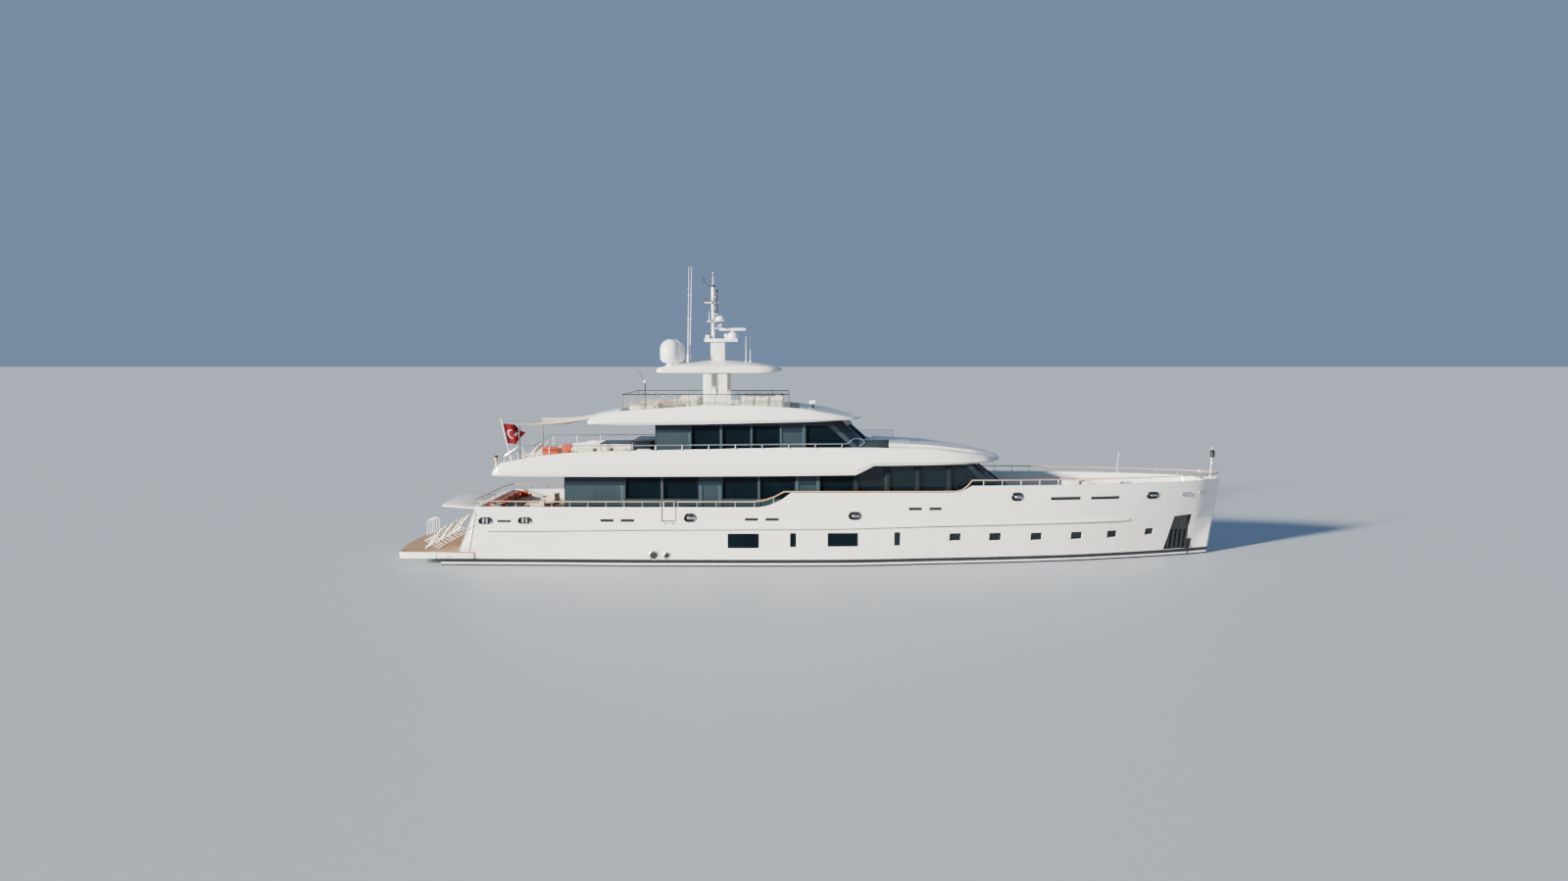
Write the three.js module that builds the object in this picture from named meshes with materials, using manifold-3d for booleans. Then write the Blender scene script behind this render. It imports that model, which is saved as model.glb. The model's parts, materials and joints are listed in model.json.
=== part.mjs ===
// Motor yacht of about 47 m, built as a half-size model.
// Every size and place below is in metres of the full-size yacht. +X is the bow, +Y is port, +Z is up,
// and the origin lies on the waterline. The finished meshes are in model millimetres.
import * as THREE from 'three';
import { mergeVertices } from 'three/addons/utils/BufferGeometryUtils.js';
import Module from 'manifold-3d';

const wasm = await Module();
wasm.setup();

const modelMmPerMetre = 500;
const gap = 0.0006; // left between pieces that rest on each other
const swing = 0.03; // clearance round pieces that move

const up = [0, 0, 1];
const down = [0, 0, -1];
const fore = [1, 0, 0];
const aft = [-1, 0, 0];
const toPort = [0, 1, 0];
const toStarboard = [0, -1, 0];
const sides = [['starboard', -1], ['port', 1]];

// Hull
const sternX = -18.84;
const bowX = 25.3;
const stationStep = 1.2;
const kneeHeight = 2.15;
const midHeight = 1.0;
const stemRake = 0.155;
const stemRakeBelow = 0.42;
const rakeStartX = 12;
const bulwarkThickness = 0.15;
// x, half beam at the sheer, at the knee and at the waterline, depth of the keel line
const hullLines = [
  [-18.84, 3.86, 3.86, 3.76, 0.32],
  [-16.7, 3.98, 3.96, 3.84, 0.42],
  [-12.0, 4.15, 4.13, 3.98, 1.15],
  [-8.0, 4.2, 4.2, 4.14, 1.95],
  [0.0, 4.2, 4.2, 4.2, 2.45],
  [4.0, 4.2, 4.19, 4.08, 2.5],
  [8.0, 4.15, 4.02, 3.62, 2.5],
  [12.0, 3.95, 3.68, 3.16, 2.45],
  [16.0, 3.55, 3.15, 2.58, 2.35],
  [19.0, 3.0, 2.5, 1.93, 2.15],
  [21.5, 2.3, 1.78, 1.28, 1.85],
  [23.5, 1.5, 1.08, 0.7, 1.35],
  [24.6, 0.8, 0.56, 0.34, 0.85],
  [25.3, 0.05, 0.05, 0.05, 0.25],
];
// The sheer and the cap rail step up twice: start x, end x, height before, height after
const sheerSteps = [[-1.5, 0.4, 3.27, 4.06], [9.2, 10.25, 4.06, 4.42]];
const railSteps = [[-1.7, 0.0, 3.6, 4.15], [9.4, 10.25, 4.15, 4.75]];
// Decks inside the bulwark: from x, to x, floor height
const deckWells = [[-16.65, 0.6, 2.5], [0.6, 9.8, 3.05], [9.8, 24.0, 3.5]];
const transomSlope = 0.4;
const transomRefHeight = 3.05;
// Transom in plan at the reference height: x, y
const transomPlan = [
  [-30, -5], [-16.6, -5], [-16.76, -4.05], [-17.12, -3.05],
  [-17.12, 3.05], [-16.76, 4.05], [-16.6, 5], [-30, 5],
];
const platformTop = 0.75;
const platformUnderside = 0.4;
// Rooms in the hull, roofed by the main deck
const beachClub = { fromX: -19, toX: -13.3, half: 2.6, floor: 1.15 };
const engineRoom = { fromX: -12.6, toX: -6.4, half: 2.5, floor: -0.9 };
const engine = { fromX: -10.9, length: 2.9, width: 1.25, height: 1.5, y: 1.3 };
const keel = { half: 0.16, bottom: 2.62 };
const rudderPadRadius = 0.22;
const finPadRadius = 0.24;
const keelProfile = [[-13.4, -0.7], [-12.9, -2.62], [13.4, -2.62], [14.6, -2.2], [0, -1.5]];
const thruster = { x: 20.2, z: -1.05, radius: 0.32 };
const anchorPocket = [[22.2, 2.4], [23.35, 2.46], [23.1, 0.42], [21.72, 0.42]];
const pocketDepth = 0.72; // half width left between the two anchor pockets
const gateSpan = { fromX: -6.64, toX: -5.88, floor: 2.5, panelTop: 3.27, capTop: 3.62 };
// The hull is built in blocks that meet at its knee, at two bulkheads and behind the stem
const blocks = { transomX: -16.65, raisedDeckX: 0.6, forepeakX: 18, stemX: 23.4 };

// Transom door, hinged along its top edge and open at rest
const door = {
  hingeX: -17.07, hingeZ: 3.04, length: 2.02, half: 2.9, skin: 0.045, crown: 0.16, openTilt: 4.2, pinRadius: 0.035,
};

// Underwater gear
const shaft = { y: 1.5, z: -1.38, radius: 0.08, fromX: -9.8, toX: -15.2 };
const propeller = { hub: 0.15, hubLength: 0.36, radius: 0.66, blades: 4 };
const shaftEnd = shaft.toX - 0.02;
const rudder = {
  x: -16.95, y: 1.5, top: -0.52, bottom: -2.05, chord: 1.0, thickness: 0.16, padBottom: -0.46,
};
const fin = { x: 2.7, y: 3.55, z: -1.75, span: 1.15, chord: 1.25, thickness: 0.16, droop: 42 };

// Main house
const wall = 0.1;
const houseFloor = 2.5;
const houseHalf = 3.2;
const houseFrontX = 14.6; // at the floor
const houseFrontSlope = 1.283;
const houseFrontSetback = 0.5;
const houseAftX = -12.13;
// Side windows: from x, to x, sill, head
const houseWindows = [
  [-8.73, -6.8, 3.62, 4.84], [-6.64, -4.73, 3.62, 4.84], [-3.39, -1.45, 3.62, 4.84],
  [-1.3, 0.6, 3.62, 4.84], [2.0, 3.84, 3.9, 4.84], [4.11, 5.53, 4.0, 5.42],
  [5.84, 7.25, 4.0, 5.44], [7.51, 8.96, 4.0, 5.46],
];
const houseRakedWindow = [[9.25, 4.0], [11.4, 4.0], [10.02, 5.42], [9.25, 5.42]];
const aftDoorway = { half: 1.5, head: 4.6 };

// Upper deck with its deep white band: x, half width, underside, top edge
const upperBand = [
  [-16.05, 3.5, 4.95, 5.06], [-15.9, 3.85, 4.93, 5.28], [-15.45, 4.05, 4.93, 5.66],
  [-13.4, 4.15, 4.93, 6.05], [-11.2, 4.18, 4.93, 6.27], [-7.8, 4.2, 4.93, 6.35],
  [-0.1, 4.2, 4.97, 6.5], [3.9, 4.2, 5.02, 6.5], [4.9, 4.18, 5.52, 6.5],
  [8.0, 4.05, 5.55, 6.44], [9.8, 3.75, 5.57, 6.22], [11.0, 3.25, 5.59, 6.02],
  [11.7, 2.65, 5.62, 5.88], [12.1, 1.95, 5.66, 5.82], [12.28, 1.0, 5.69, 5.79],
];
const upperDeckLevel = 5.35;
const upperWell = { fromX: -15.75, toX: 4.6, inset: 0.26 };
// Raised trunk on the foredeck roof: x, half width, underside, top
const trunk = [[5.3, 2.75, 6.0, 6.68], [8.2, 2.6, 6.0, 6.52], [10.6, 2.2, 5.8, 6.22], [11.9, 1.3, 5.7, 5.93]];

// Upper house
const upperHalf = 3.0;
const upperAftX = -7.11;
const upperFrontX = 6.1;
const upperFrontSlope = 1.1;
const upperFrontSetback = 0.8;
const upperWindows = [
  [-5.09, -3.55, 6.2, 7.6], [-3.38, -1.86, 6.2, 7.6], [-1.72, -0.24, 6.2, 7.6],
];
const upperRakedWindow = [[1.23, 6.2], [4.0, 6.2], [2.45, 7.6], [1.23, 7.6]];
const upperDoorway = { half: 1.3, head: 7.4 };

// Sun deck, the roof of the upper house: x, half width, underside, top edge
const roofBand = [
  [-10.6, 3.35, 7.72, 7.98], [-10.45, 3.65, 7.7, 8.15], [-9.0, 3.82, 7.71, 8.47],
  [-5.3, 3.92, 7.76, 8.72], [-4.4, 3.93, 7.77, 8.8], [-1.3, 3.93, 7.84, 8.78],
  [1.0, 3.85, 7.88, 8.61], [2.6, 3.6, 7.92, 8.35], [3.75, 3.1, 7.95, 8.1],
  [4.2, 2.4, 7.99, 8.1], [4.4, 1.2, 8.02, 8.1],
];
const sunDeckLevel = 8.14;
const sunWell = { fromX: -9.0, toX: 0.9, inset: 0.42 };
const screen = { fromX: -8.85, toX: 0.3, half: 3.3, bottom: 8.14, top: 9.37, thickness: 0.04 };

// Hardtop: x, half width, underside, shoulder, crown
const hardtopRows = [
  [-7.13, 1.5, 10.6, 10.66, 10.74], [-6.8, 2.1, 10.56, 10.68, 10.87], [-5.5, 2.35, 10.55, 10.72, 11.1],
  [-4.2, 2.38, 10.55, 10.74, 11.2], [-2.2, 2.36, 10.55, 10.74, 11.18], [-0.9, 2.1, 10.56, 10.7, 11.0],
  [-0.3, 1.5, 10.58, 10.66, 10.8], [-0.09, 0.7, 10.6, 10.64, 10.7],
];
const leg = { fromX: -4.5, toX: -3.17, y: 2.0, thickness: 0.34, top: 10.56 };
const legSlot = { fromX: -4.04, toX: -3.66, bottom: 9.21, top: 10.3 };

// Mast
const mast = {
  x: -3.8, baseHalf: 0.4, baseWidth: 0.6, baseTop: 12.3, platformFromX: -4.54, platformToX: -2.65, platformHalf: 0.45,
  platformZ: 12.45, poleX: -4.07, poleRadius: 0.1, poleTop: 15.46, tip: 16.25,
};
// Cross arms: height, half width, bar radius
const mastArms = [[13.3, 0.75, 0.05], [14.05, 0.5, 0.04], [14.35, 0.35, 0.04], [14.7, 0.45, 0.04]];
const radar = { x: -2.95, z: 12.92, length: 1.5, width: 0.16, height: 0.14, pedestalTop: 12.83, pedestalRadius: 0.14 };
const radome = { x: -6.4, y: 1.3, radius: 0.575, bottom: 11.06, top: 12.41 };
const whips = [['port', -5.6, 0.7, 16.6], ['starboard', -5.35, -0.8, 16.5]];
const whipRadius = 0.035;

// Awning over the upper aft deck: corners at the roof and at the two poles
const awning = {
  foreX: -10.6006, foreZ: 7.97, aftX: -14.7, aftZ: 7.72, foreHalf: 2.9, aftHalf: 3.0, thickness: 0.05,
};
const awningPole = { x: -14.62, y: 2.9, radius: 0.04 };
const staff = { foot: [-15.8, 0, 5.22], top: [-16.35, 0, 7.81], radius: 0.04 };
const flagSheet = { fore: -15.17, high: 7.6, low: 6.43, thickness: 0.03 };

// Turns an outline drawn in two axes into a prism along the third.
const prismBases = {
  x: [[0, 1, 0], [0, 0, 1], [1, 0, 0]],
  y: [[1, 0, 0], [0, 0, 1], [0, -1, 0]],
  z: [[1, 0, 0], [0, 1, 0], [0, 0, 1]],
};

function solid(geometry) {
  const bare = new THREE.BufferGeometry();
  bare.setAttribute('position', geometry.attributes.position.clone());
  if (geometry.index) bare.setIndex(geometry.index.clone());
  const merged = mergeVertices(bare, 1e-5);
  return new wasm.Manifold(new wasm.Mesh({
    numProp: 3,
    vertProperties: new Float32Array(merged.attributes.position.array),
    triVerts: new Uint32Array(merged.index.array),
  }));
}

function prism(outline, axis, from, to) {
  const shape = new THREE.Shape(outline.map(([u, v]) => new THREE.Vector2(u, v)));
  const geometry = new THREE.ExtrudeGeometry(shape, { depth: to - from, bevelEnabled: false });
  const [first, second, along] = prismBases[axis].map((v) => new THREE.Vector3(...v));
  geometry.applyMatrix4(new THREE.Matrix4().makeBasis(first, second, along));
  const start = along.clone().multiplyScalar(axis === 'y' ? -to : from);
  geometry.translate(start.x, start.y, start.z);
  return solid(geometry);
}

function box(fromX, toX, fromY, toY, fromZ, toZ) {
  const geometry = new THREE.BoxGeometry(toX - fromX, toY - fromY, toZ - fromZ);
  geometry.translate((fromX + toX) / 2, (fromY + toY) / 2, (fromZ + toZ) / 2);
  return solid(geometry);
}

function rod(from, to, radius, sideCount = 8) {
  const start = new THREE.Vector3(...from);
  const end = new THREE.Vector3(...to);
  const direction = end.clone().sub(start);
  const geometry = new THREE.CylinderGeometry(radius, radius, direction.length(), sideCount);
  const turn = new THREE.Quaternion().setFromUnitVectors(new THREE.Vector3(0, 1, 0), direction.normalize());
  geometry.applyQuaternion(turn);
  geometry.translate((from[0] + to[0]) / 2, (from[1] + to[1]) / 2, (from[2] + to[2]) / 2);
  return solid(geometry);
}

function lathe(profile, place, segments = 20) {
  const points = profile.map(([radius, height]) => new THREE.Vector2(radius, height));
  const geometry = new THREE.LatheGeometry(points, segments);
  geometry.rotateX(Math.PI / 2);
  geometry.translate(...place);
  return solid(geometry);
}

function ringArea(ring, u, v) {
  let area = 0;
  ring.forEach((p, i) => {
    const q = ring[(i + 1) % ring.length];
    area += p[u] * q[v] - q[u] * p[v];
  });
  return area;
}

// Triangles that close a ring, turned the same way as the ring.
function capFaces(ring) {
  const planes = [[1, 2], [2, 0], [0, 1]];
  const areas = planes.map(([u, v]) => Math.abs(ringArea(ring, u, v)));
  const [u, v] = planes[areas.indexOf(Math.max(...areas))];
  const contour = ring.map((p) => new THREE.Vector2(p[u], p[v]));
  const faces = THREE.ShapeUtils.triangulateShape(contour, []);
  const sign = Math.sign(ringArea(ring, u, v));
  return faces.map((face) => {
    const turned = Math.sign(ringArea(face.map((i) => ring[i]), u, v));
    return turned === sign ? face : [face[0], face[2], face[1]];
  });
}

function signedVolume(points, faces) {
  let volume = 0;
  for (const [a, b, c] of faces) {
    const [p, q, r] = [points[a], points[b], points[c]];
    volume += p[0] * (q[1] * r[2] - q[2] * r[1]) + p[1] * (q[2] * r[0] - q[0] * r[2])
      + p[2] * (q[0] * r[1] - q[1] * r[0]);
  }
  return volume;
}

// A closed body through rings that all have the same number of points.
function loft(rings) {
  const count = rings[0].length;
  const points = rings.flat();
  const faces = capFaces(rings[0]).map(([a, b, c]) => [a, c, b]);
  for (let r = 0; r + 1 < rings.length; r++) {
    for (let i = 0; i < count; i++) {
      const a = r * count + i;
      const b = r * count + (i + 1) % count;
      faces.push([a, b, b + count], [a, b + count, a + count]);
    }
  }
  const lastStart = (rings.length - 1) * count;
  faces.push(...capFaces(rings[rings.length - 1]).map((face) => face.map((i) => i + lastStart)));
  if (signedVolume(points, faces) < 0) faces.forEach((face) => face.reverse());
  const geometry = new THREE.BufferGeometry();
  geometry.setAttribute('position', new THREE.Float32BufferAttribute(points.flat(), 3));
  geometry.setIndex(faces.flat());
  return solid(geometry);
}

function join(...solids) {
  return solids.reduce((all, next) => all.add(next));
}

// Cuts a body so that it stands one gap clear of its neighbour in the given directions.
function clearOf(body, neighbour, ...directions) {
  return directions.reduce(
    (rest, way) => rest.subtract(neighbour.translate(way.map((v) => v * gap))), body.subtract(neighbour));
}

function mirrored(body) {
  return body.mirror(toPort);
}

// Smooth reading of one column of a table whose first column rises.
function fair(table, x, column) {
  const last = table.length - 2;
  let i = 0;
  while (i < last && table[i + 1][0] < x) i++;
  const slopeAt = (k) => {
    const before = table[Math.max(k - 1, 0)];
    const after = table[Math.min(k + 1, table.length - 1)];
    return (after[column] - before[column]) / (after[0] - before[0]);
  };
  const [start, end] = [table[i], table[i + 1]];
  const span = end[0] - start[0];
  const t = Math.min(Math.max((x - start[0]) / span, 0), 1);
  return start[column] * (1 + 2 * t) * (1 - t) ** 2 + span * slopeAt(i) * t * (1 - t) ** 2
    + end[column] * t * t * (3 - 2 * t) + span * slopeAt(i + 1) * t * t * (t - 1);
}

function steppedHeight(steps, x) {
  let height = steps[0][2];
  for (const [from, to, before, after] of steps) {
    const t = Math.min(Math.max((x - from) / (to - from), 0), 1);
    height += (after - before) * t * t;
  }
  return height;
}

function halfBeam(x, z) {
  const [sheer, knee, water] = [1, 2, 3].map((column) => fair(hullLines, x, column));
  if (z < kneeHeight) return water + (knee - water) * z / kneeHeight;
  return knee + (sheer - knee) * (z - kneeHeight) / (steppedHeight(sheerSteps, x) - kneeHeight);
}

function rakedX(x, z) {
  const share = Math.max(0, (x - rakeStartX) / (bowX - rakeStartX));
  const slope = z > 0 ? stemRake : stemRakeBelow;
  return x + share * (slope * z - stemRake * steppedHeight(sheerSteps, x));
}

function stationsBetween(from, to) {
  const marks = new Set([from, to]);
  for (let x = Math.ceil(from / stationStep) * stationStep; x < to; x += stationStep) marks.add(x);
  for (const [start, end] of sheerSteps) {
    for (const t of [0, 0.35, 0.7, 1]) marks.add(start + (end - start) * t);
  }
  return [...marks].filter((x) => x >= from && x <= to).sort((a, b) => a - b);
}

function hullRing(x) {
  const water = fair(hullLines, x, 3);
  const depth = fair(hullLines, x, 4);
  const side = [steppedHeight(sheerSteps, x), kneeHeight, midHeight, 0].map((z) => [halfBeam(x, z), z]);
  for (const angle of [25, 50, 72]) {
    const a = THREE.MathUtils.degToRad(angle);
    side.push([water * Math.cos(a) ** 0.6, -depth * Math.sin(a) ** 0.8]);
  }
  const port = side.map(([y, z]) => [rakedX(x, z), y, z]);
  const starboard = side.map(([y, z]) => [rakedX(x, z), -y, z]).reverse();
  return [...port, [rakedX(x, -depth), 0, -depth], ...starboard];
}

function deckWell(fromX, toX, floor) {
  return loft(stationsBetween(fromX, toX).map((x) => {
    const low = halfBeam(x, floor) - bulwarkThickness;
    const top = steppedHeight(sheerSteps, x) + 0.4;
    const high = halfBeam(x, top) - bulwarkThickness;
    const [lowX, highX] = [rakedX(x, floor), rakedX(x, top)];
    return [[lowX, -low, floor], [highX, -high, top], [highX, high, top], [lowX, low, floor]];
  }));
}

function transomCutter() {
  const cutter = new THREE.ExtrudeGeometry(
    new THREE.Shape(transomPlan.map(([x, y]) => new THREE.Vector2(x, y))), { depth: 4, bevelEnabled: false });
  const shear = new THREE.Matrix4().set(1, 0, transomSlope, 0, 0, 1, 0, 0, 0, 0, 1, 0, 0, 0, 0, 1);
  cutter.translate(0, 0, platformUnderside - transomRefHeight);
  cutter.applyMatrix4(shear);
  cutter.translate(0, 0, transomRefHeight);
  return solid(cutter);
}

// Places a body drawn along u (down the closed door) and v (outwards) at the door's hinge.
function atDoorHinge(body, tilt) {
  return body.rotate([0, 180 + tilt, 0]).translate([door.hingeX, 0, door.hingeZ]);
}

// The whole hull before it is cut into its blocks
function buildHull() {
  let hull = loft(stationsBetween(sternX, bowX).map(hullRing));
  hull = hull.add(prism(keelProfile, 'y', -keel.half, keel.half));
  hull = hull.subtract(transomCutter());
  for (const [fromX, toX, floor] of deckWells) hull = hull.subtract(deckWell(fromX, toX, floor));
  for (const room of [beachClub, engineRoom]) {
    hull = hull.subtract(box(room.fromX, room.toX, -room.half, room.half, room.floor, kneeHeight));
  }
  const doorHalf = door.half + swing;
  const recess = box(-0.09, door.length + 0.06, -doorHalf, doorHalf, -0.5, door.skin + swing);
  hull = hull.subtract(atDoorHinge(recess, closedDoorAngle()));
  hull = hull.subtract(rod([thruster.x, -4, thruster.z], [thruster.x, 4, thruster.z], thruster.radius, 12));
  for (const [, side] of sides) {
    hull = hull.subtract(prism(anchorPocket, 'y', ...reach(side, pocketDepth, 4)));
    hull = hull.subtract(box(gateSpan.fromX, gateSpan.toX, ...reach(side, 3.9, 4.6), gateSpan.floor, 4));
    hull = hull.add(rudderPad(side)).add(finPad(side));
  }
  return hull;
}

// A span of y on one side of the yacht, lowest first
function reach(side, near, far) {
  return side > 0 ? [near, far] : [-far, -near];
}

function slice(body, fromX, toX, fromZ, toZ) {
  return body.intersect(box(fromX, toX, -6, 6, fromZ, toZ));
}

// The space inside the bulwarks, down to the knee
function insideBulwarks(inset) {
  return loft(stationsBetween(blocks.transomX - 0.5, deckWells[2][1]).map((x) => {
    const top = steppedHeight(sheerSteps, x) + 0.4;
    const [low, high] = [kneeHeight, top].map((z) => halfBeam(x, z) - bulwarkThickness - inset);
    const [lowX, highX] = [rakedX(x, kneeHeight), rakedX(x, top)];
    return [[lowX, -low, kneeHeight - 0.1], [highX, -high, top], [highX, high, top], [lowX, low, kneeHeight - 0.1]];
  }));
}

function hullBlocks(hull) {
  const { transomX, raisedDeckX, forepeakX, stemX } = blocks;
  const below = slice(hull, -30, 30, -5, kneeHeight);
  const above = slice(hull, -30, 30, kneeHeight + gap, 9);
  const decks = above.intersect(insideBulwarks(gap));
  const walls = slice(above.subtract(insideBulwarks(0)), transomX + gap, stemX - gap, 0, 9);
  return {
    hull: slice(below, -30, forepeakX, -5, 9),
    forepeak: slice(below, forepeakX + gap, 30, -5, 9),
    transom: slice(above, -30, transomX, 0, 9),
    main_deck: slice(decks, transomX + gap, raisedDeckX - gap, 0, 9),
    foredeck: slice(decks, raisedDeckX, stemX + 0.1, 0, 9).add(slice(above, stemX, 30, 0, 9)),
    bulwark_port: walls.intersect(box(-30, 30, 0, 6, 0, 9)),
    bulwark_starboard: walls.intersect(box(-30, 30, -6, 0, 0, 9)),
  };
}

function rudderPad(side) {
  const y = side * rudder.y;
  return rod([rudder.x, y, -0.2], [rudder.x, y, rudder.padBottom], rudderPadRadius, 12);
}

// The transom line leans 0.4 forward for each metre up, so the closed door hangs at this angle to level.
function closedDoorAngle() {
  return -THREE.MathUtils.radToDeg(Math.atan2(1, transomSlope));
}

const finDrop = THREE.MathUtils.degToRad(fin.droop);

function alongFin(side, distance) {
  return [fin.x, side * (fin.y + distance * Math.cos(finDrop)), fin.z - distance * Math.sin(finDrop)];
}

function finPad(side) {
  return rod(alongFin(side, -0.9), alongFin(side, 0.02), finPadRadius, 12);
}

function buildTransomDoor() {
  const rings = [-1, -0.6, 0, 0.6, 1].map((share) => {
    const y = share * door.half;
    const crown = door.crown * (1 - share * share);
    const length = door.length - 0.1 * share * share;
    return [[0.03, y, door.skin], [length, y, door.skin], [length, y, -door.skin - crown * 0.4],
      [length * 0.5, y, -door.skin - crown], [0.03, y, -door.skin - crown * 0.4]];
  });
  const pinEnd = door.half + swing - gap;
  const pin = rod([0, -pinEnd, 0], [0, pinEnd, 0], door.pinRadius, 8);
  return atDoorHinge(loft(rings).add(pin), door.openTilt);
}

function buildPlatform(hull) {
  const outline = [
    [-17.0, -3.95], [-20.85, -3.92], [-21.08, -3.82], [-21.2, -3.55], [-21.45, -2.2], [-21.55, -0.8],
    [-21.55, 0.8], [-21.45, 2.2], [-21.2, 3.55], [-21.08, 3.82], [-20.85, 3.92], [-17.0, 3.95],
  ];
  return clearOf(prism(outline, 'z', platformUnderside + gap, platformTop), hull, aft);
}

function buildEngine(side) {
  const { fromX, length, width, height, y } = engine;
  const floor = engineRoom.floor + gap;
  return box(fromX, fromX + length, side * y - width / 2, side * y + width / 2, floor, floor + height);
}

function buildShaft(side, hull) {
  const y = side * shaft.y;
  const line = rod([shaft.fromX, y, shaft.z], [shaftEnd, y, shaft.z], shaft.radius, 10);
  const boss = rod([shaft.toX + 0.35, y, shaft.z], [shaft.toX, y, shaft.z], 0.16, 12);
  const armFoot = [shaft.toX + 0.18, y, shaft.z];
  const armsUp = [-0.55, 0.55].map((spread) => rod(armFoot, [shaft.toX + 0.18, y + spread, -0.2], 0.055, 6));
  return clearOf(join(line, boss, ...armsUp), hull, down, aft);
}

// Blade sections: distance from the shaft, half chord, pitch in degrees
const bladeSections = [[0.1, 0.15, -62], [0.32, 0.27, -42], [0.54, 0.24, -28], [propeller.radius, 0.07, -22]];

function buildPropeller(side) {
  const frontX = shaftEnd - gap;
  const aftX = frontX - propeller.hubLength;
  let body = rod([frontX, -shaft.y, shaft.z], [aftX, -shaft.y, shaft.z], propeller.hub, 10);
  body = body.add(rod([aftX + 0.02, -shaft.y, shaft.z], [aftX - 0.12, -shaft.y, shaft.z], 0.08, 8));
  const blade = loft(bladeSections.map(bladeRing));
  for (let i = 0; i < propeller.blades; i++) {
    const turned = blade.rotate([i * 360 / propeller.blades, 0, 0]);
    body = body.add(turned.translate([frontX - propeller.hubLength / 2, -shaft.y, shaft.z]));
  }
  return side > 0 ? mirrored(body) : body;
}

function bladeRing([radius, half, pitch]) {
  const a = THREE.MathUtils.degToRad(pitch);
  return [[-half, 0], [0, 0.025], [half, 0], [0, -0.025]].map(([u, v]) =>
    [u * Math.sin(a) * 0.9 + v * Math.cos(a), u * Math.cos(a) - v * Math.sin(a), radius]);
}

// Section of a rudder or fin: a rounded nose ahead of the stock and a thin tail, u along the chord
function foilSection(chord, noseShare, thickness) {
  const nose = chord * noseShare;
  const tail = chord * (1 - noseShare);
  const half = thickness / 2;
  return [[nose, 0], [nose * 0.6, half], [0, half], [-tail, 0.012], [-tail, -0.012], [0, -half], [nose * 0.6, -half]];
}

function buildRudder(side) {
  const y = side * rudder.y;
  const rings = [[rudder.top, 1], [rudder.bottom, 0.82]].map(([z, share]) =>
    foilSection(rudder.chord * share, 0.32, rudder.thickness).map(([u, v]) => [rudder.x + u, y + v, z]));
  const stock = rod([rudder.x, y, rudder.top - 0.1], [rudder.x, y, rudder.padBottom - gap], 0.075, 10);
  return join(loft(rings), stock);
}

function buildFin(side) {
  const normal = [side * Math.sin(finDrop), Math.cos(finDrop)];
  const rings = [[0.08, 1], [fin.span, 0.72]].map(([distance, share]) => {
    const [x, y, z] = alongFin(side, distance);
    return foilSection(fin.chord * share, 0.35, fin.thickness)
      .map(([u, v]) => [x + u, y + normal[0] * v, z + normal[1] * v]);
  });
  return join(loft(rings), rod(alongFin(side, 0.02 + gap), alongFin(side, 0.3), 0.07, 8));
}

const gateInner = halfBeam(gateSpan.fromX, 3) - bulwarkThickness + 0.01;
const gateHingeX = gateSpan.toX - 0.04;
const gatePinInset = 0.02;
const postRadius = 0.022;

function buildGate(side) {
  const { floor, panelTop, capTop } = gateSpan;
  const [fromX, toX] = [gateSpan.fromX + swing, gateHingeX];
  const panel = box(fromX, toX, gateInner, gateInner + 0.11, floor + swing / 2, panelTop);
  const pinY = gateInner - gatePinInset;
  const pin = rod([toX, pinY, floor + gap], [toX, pinY, panelTop - 0.02], 0.026, 8);
  const postY = gateInner + 0.055;
  const posts = [fromX + 0.06, toX - 0.06].map((x) =>
    rod([x, postY, panelTop - 0.07], [x, postY, capTop - 0.04], postRadius, 6));
  const cap = box(fromX, toX, gateInner - 0.01, gateInner + 0.12, capTop - 0.05, capTop);
  const gate = join(panel, pin, ...posts, cap);
  return side > 0 ? gate : mirrored(gate);
}

function railPoint(x, side, lift = 0) {
  const z = steppedHeight(railSteps, x) + lift;
  return [x, side * (halfBeam(x, steppedHeight(sheerSteps, x)) - 0.08), z];
}

// A flat-topped bar through points, its section level across the path.
function bar(points, width, height) {
  return loft(points.map((point, i) => {
    const before = points[Math.max(i - 1, 0)];
    const after = points[Math.min(i + 1, points.length - 1)];
    const across = new THREE.Vector2(before[1] - after[1], after[0] - before[0]).normalize();
    const [ax, ay] = [across.x * width / 2, across.y * width / 2];
    const [x, y, z] = point;
    return [[x - ax, y - ay, z], [x + ax, y + ay, z], [x + ax, y + ay, z - height], [x - ax, y - ay, z - height]];
  }));
}

function railStations(from, to) {
  const marks = new Set([from, to]);
  for (let x = Math.ceil(from / 2) * 2; x < to; x += 2) marks.add(x);
  for (const [start, end] of railSteps) for (const t of [0, 0.35, 0.7, 1]) marks.add(start + (end - start) * t);
  return [...marks].filter((x) => x >= from && x <= to).sort((a, b) => a - b);
}

function railPosts(fromX, toX, side) {
  const count = Math.round((toX - fromX) / 1.04);
  const posts = [];
  for (let i = 0; i <= count; i++) {
    const x = fromX + (toX - fromX) * i / count;
    const [, y, top] = railPoint(x, side);
    posts.push(rod([x, y, steppedHeight(sheerSteps, x) - 0.1], [x, y, top - 0.02], postRadius, 5));
  }
  return posts;
}

const capWidth = 0.13;
const capHeight = 0.05;
const sternRailX = -16.7;

function buildSideRail(side, hull) {
  const gateX = gateSpan.fromX - 0.03;
  const cap = bar(railStations(sternRailX, gateX).map((x) => railPoint(x, side)), capWidth, capHeight);
  return clearOf(join(cap, ...railPosts(sternRailX + 0.1, gateX - 0.05, side)), hull, up);
}

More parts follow.
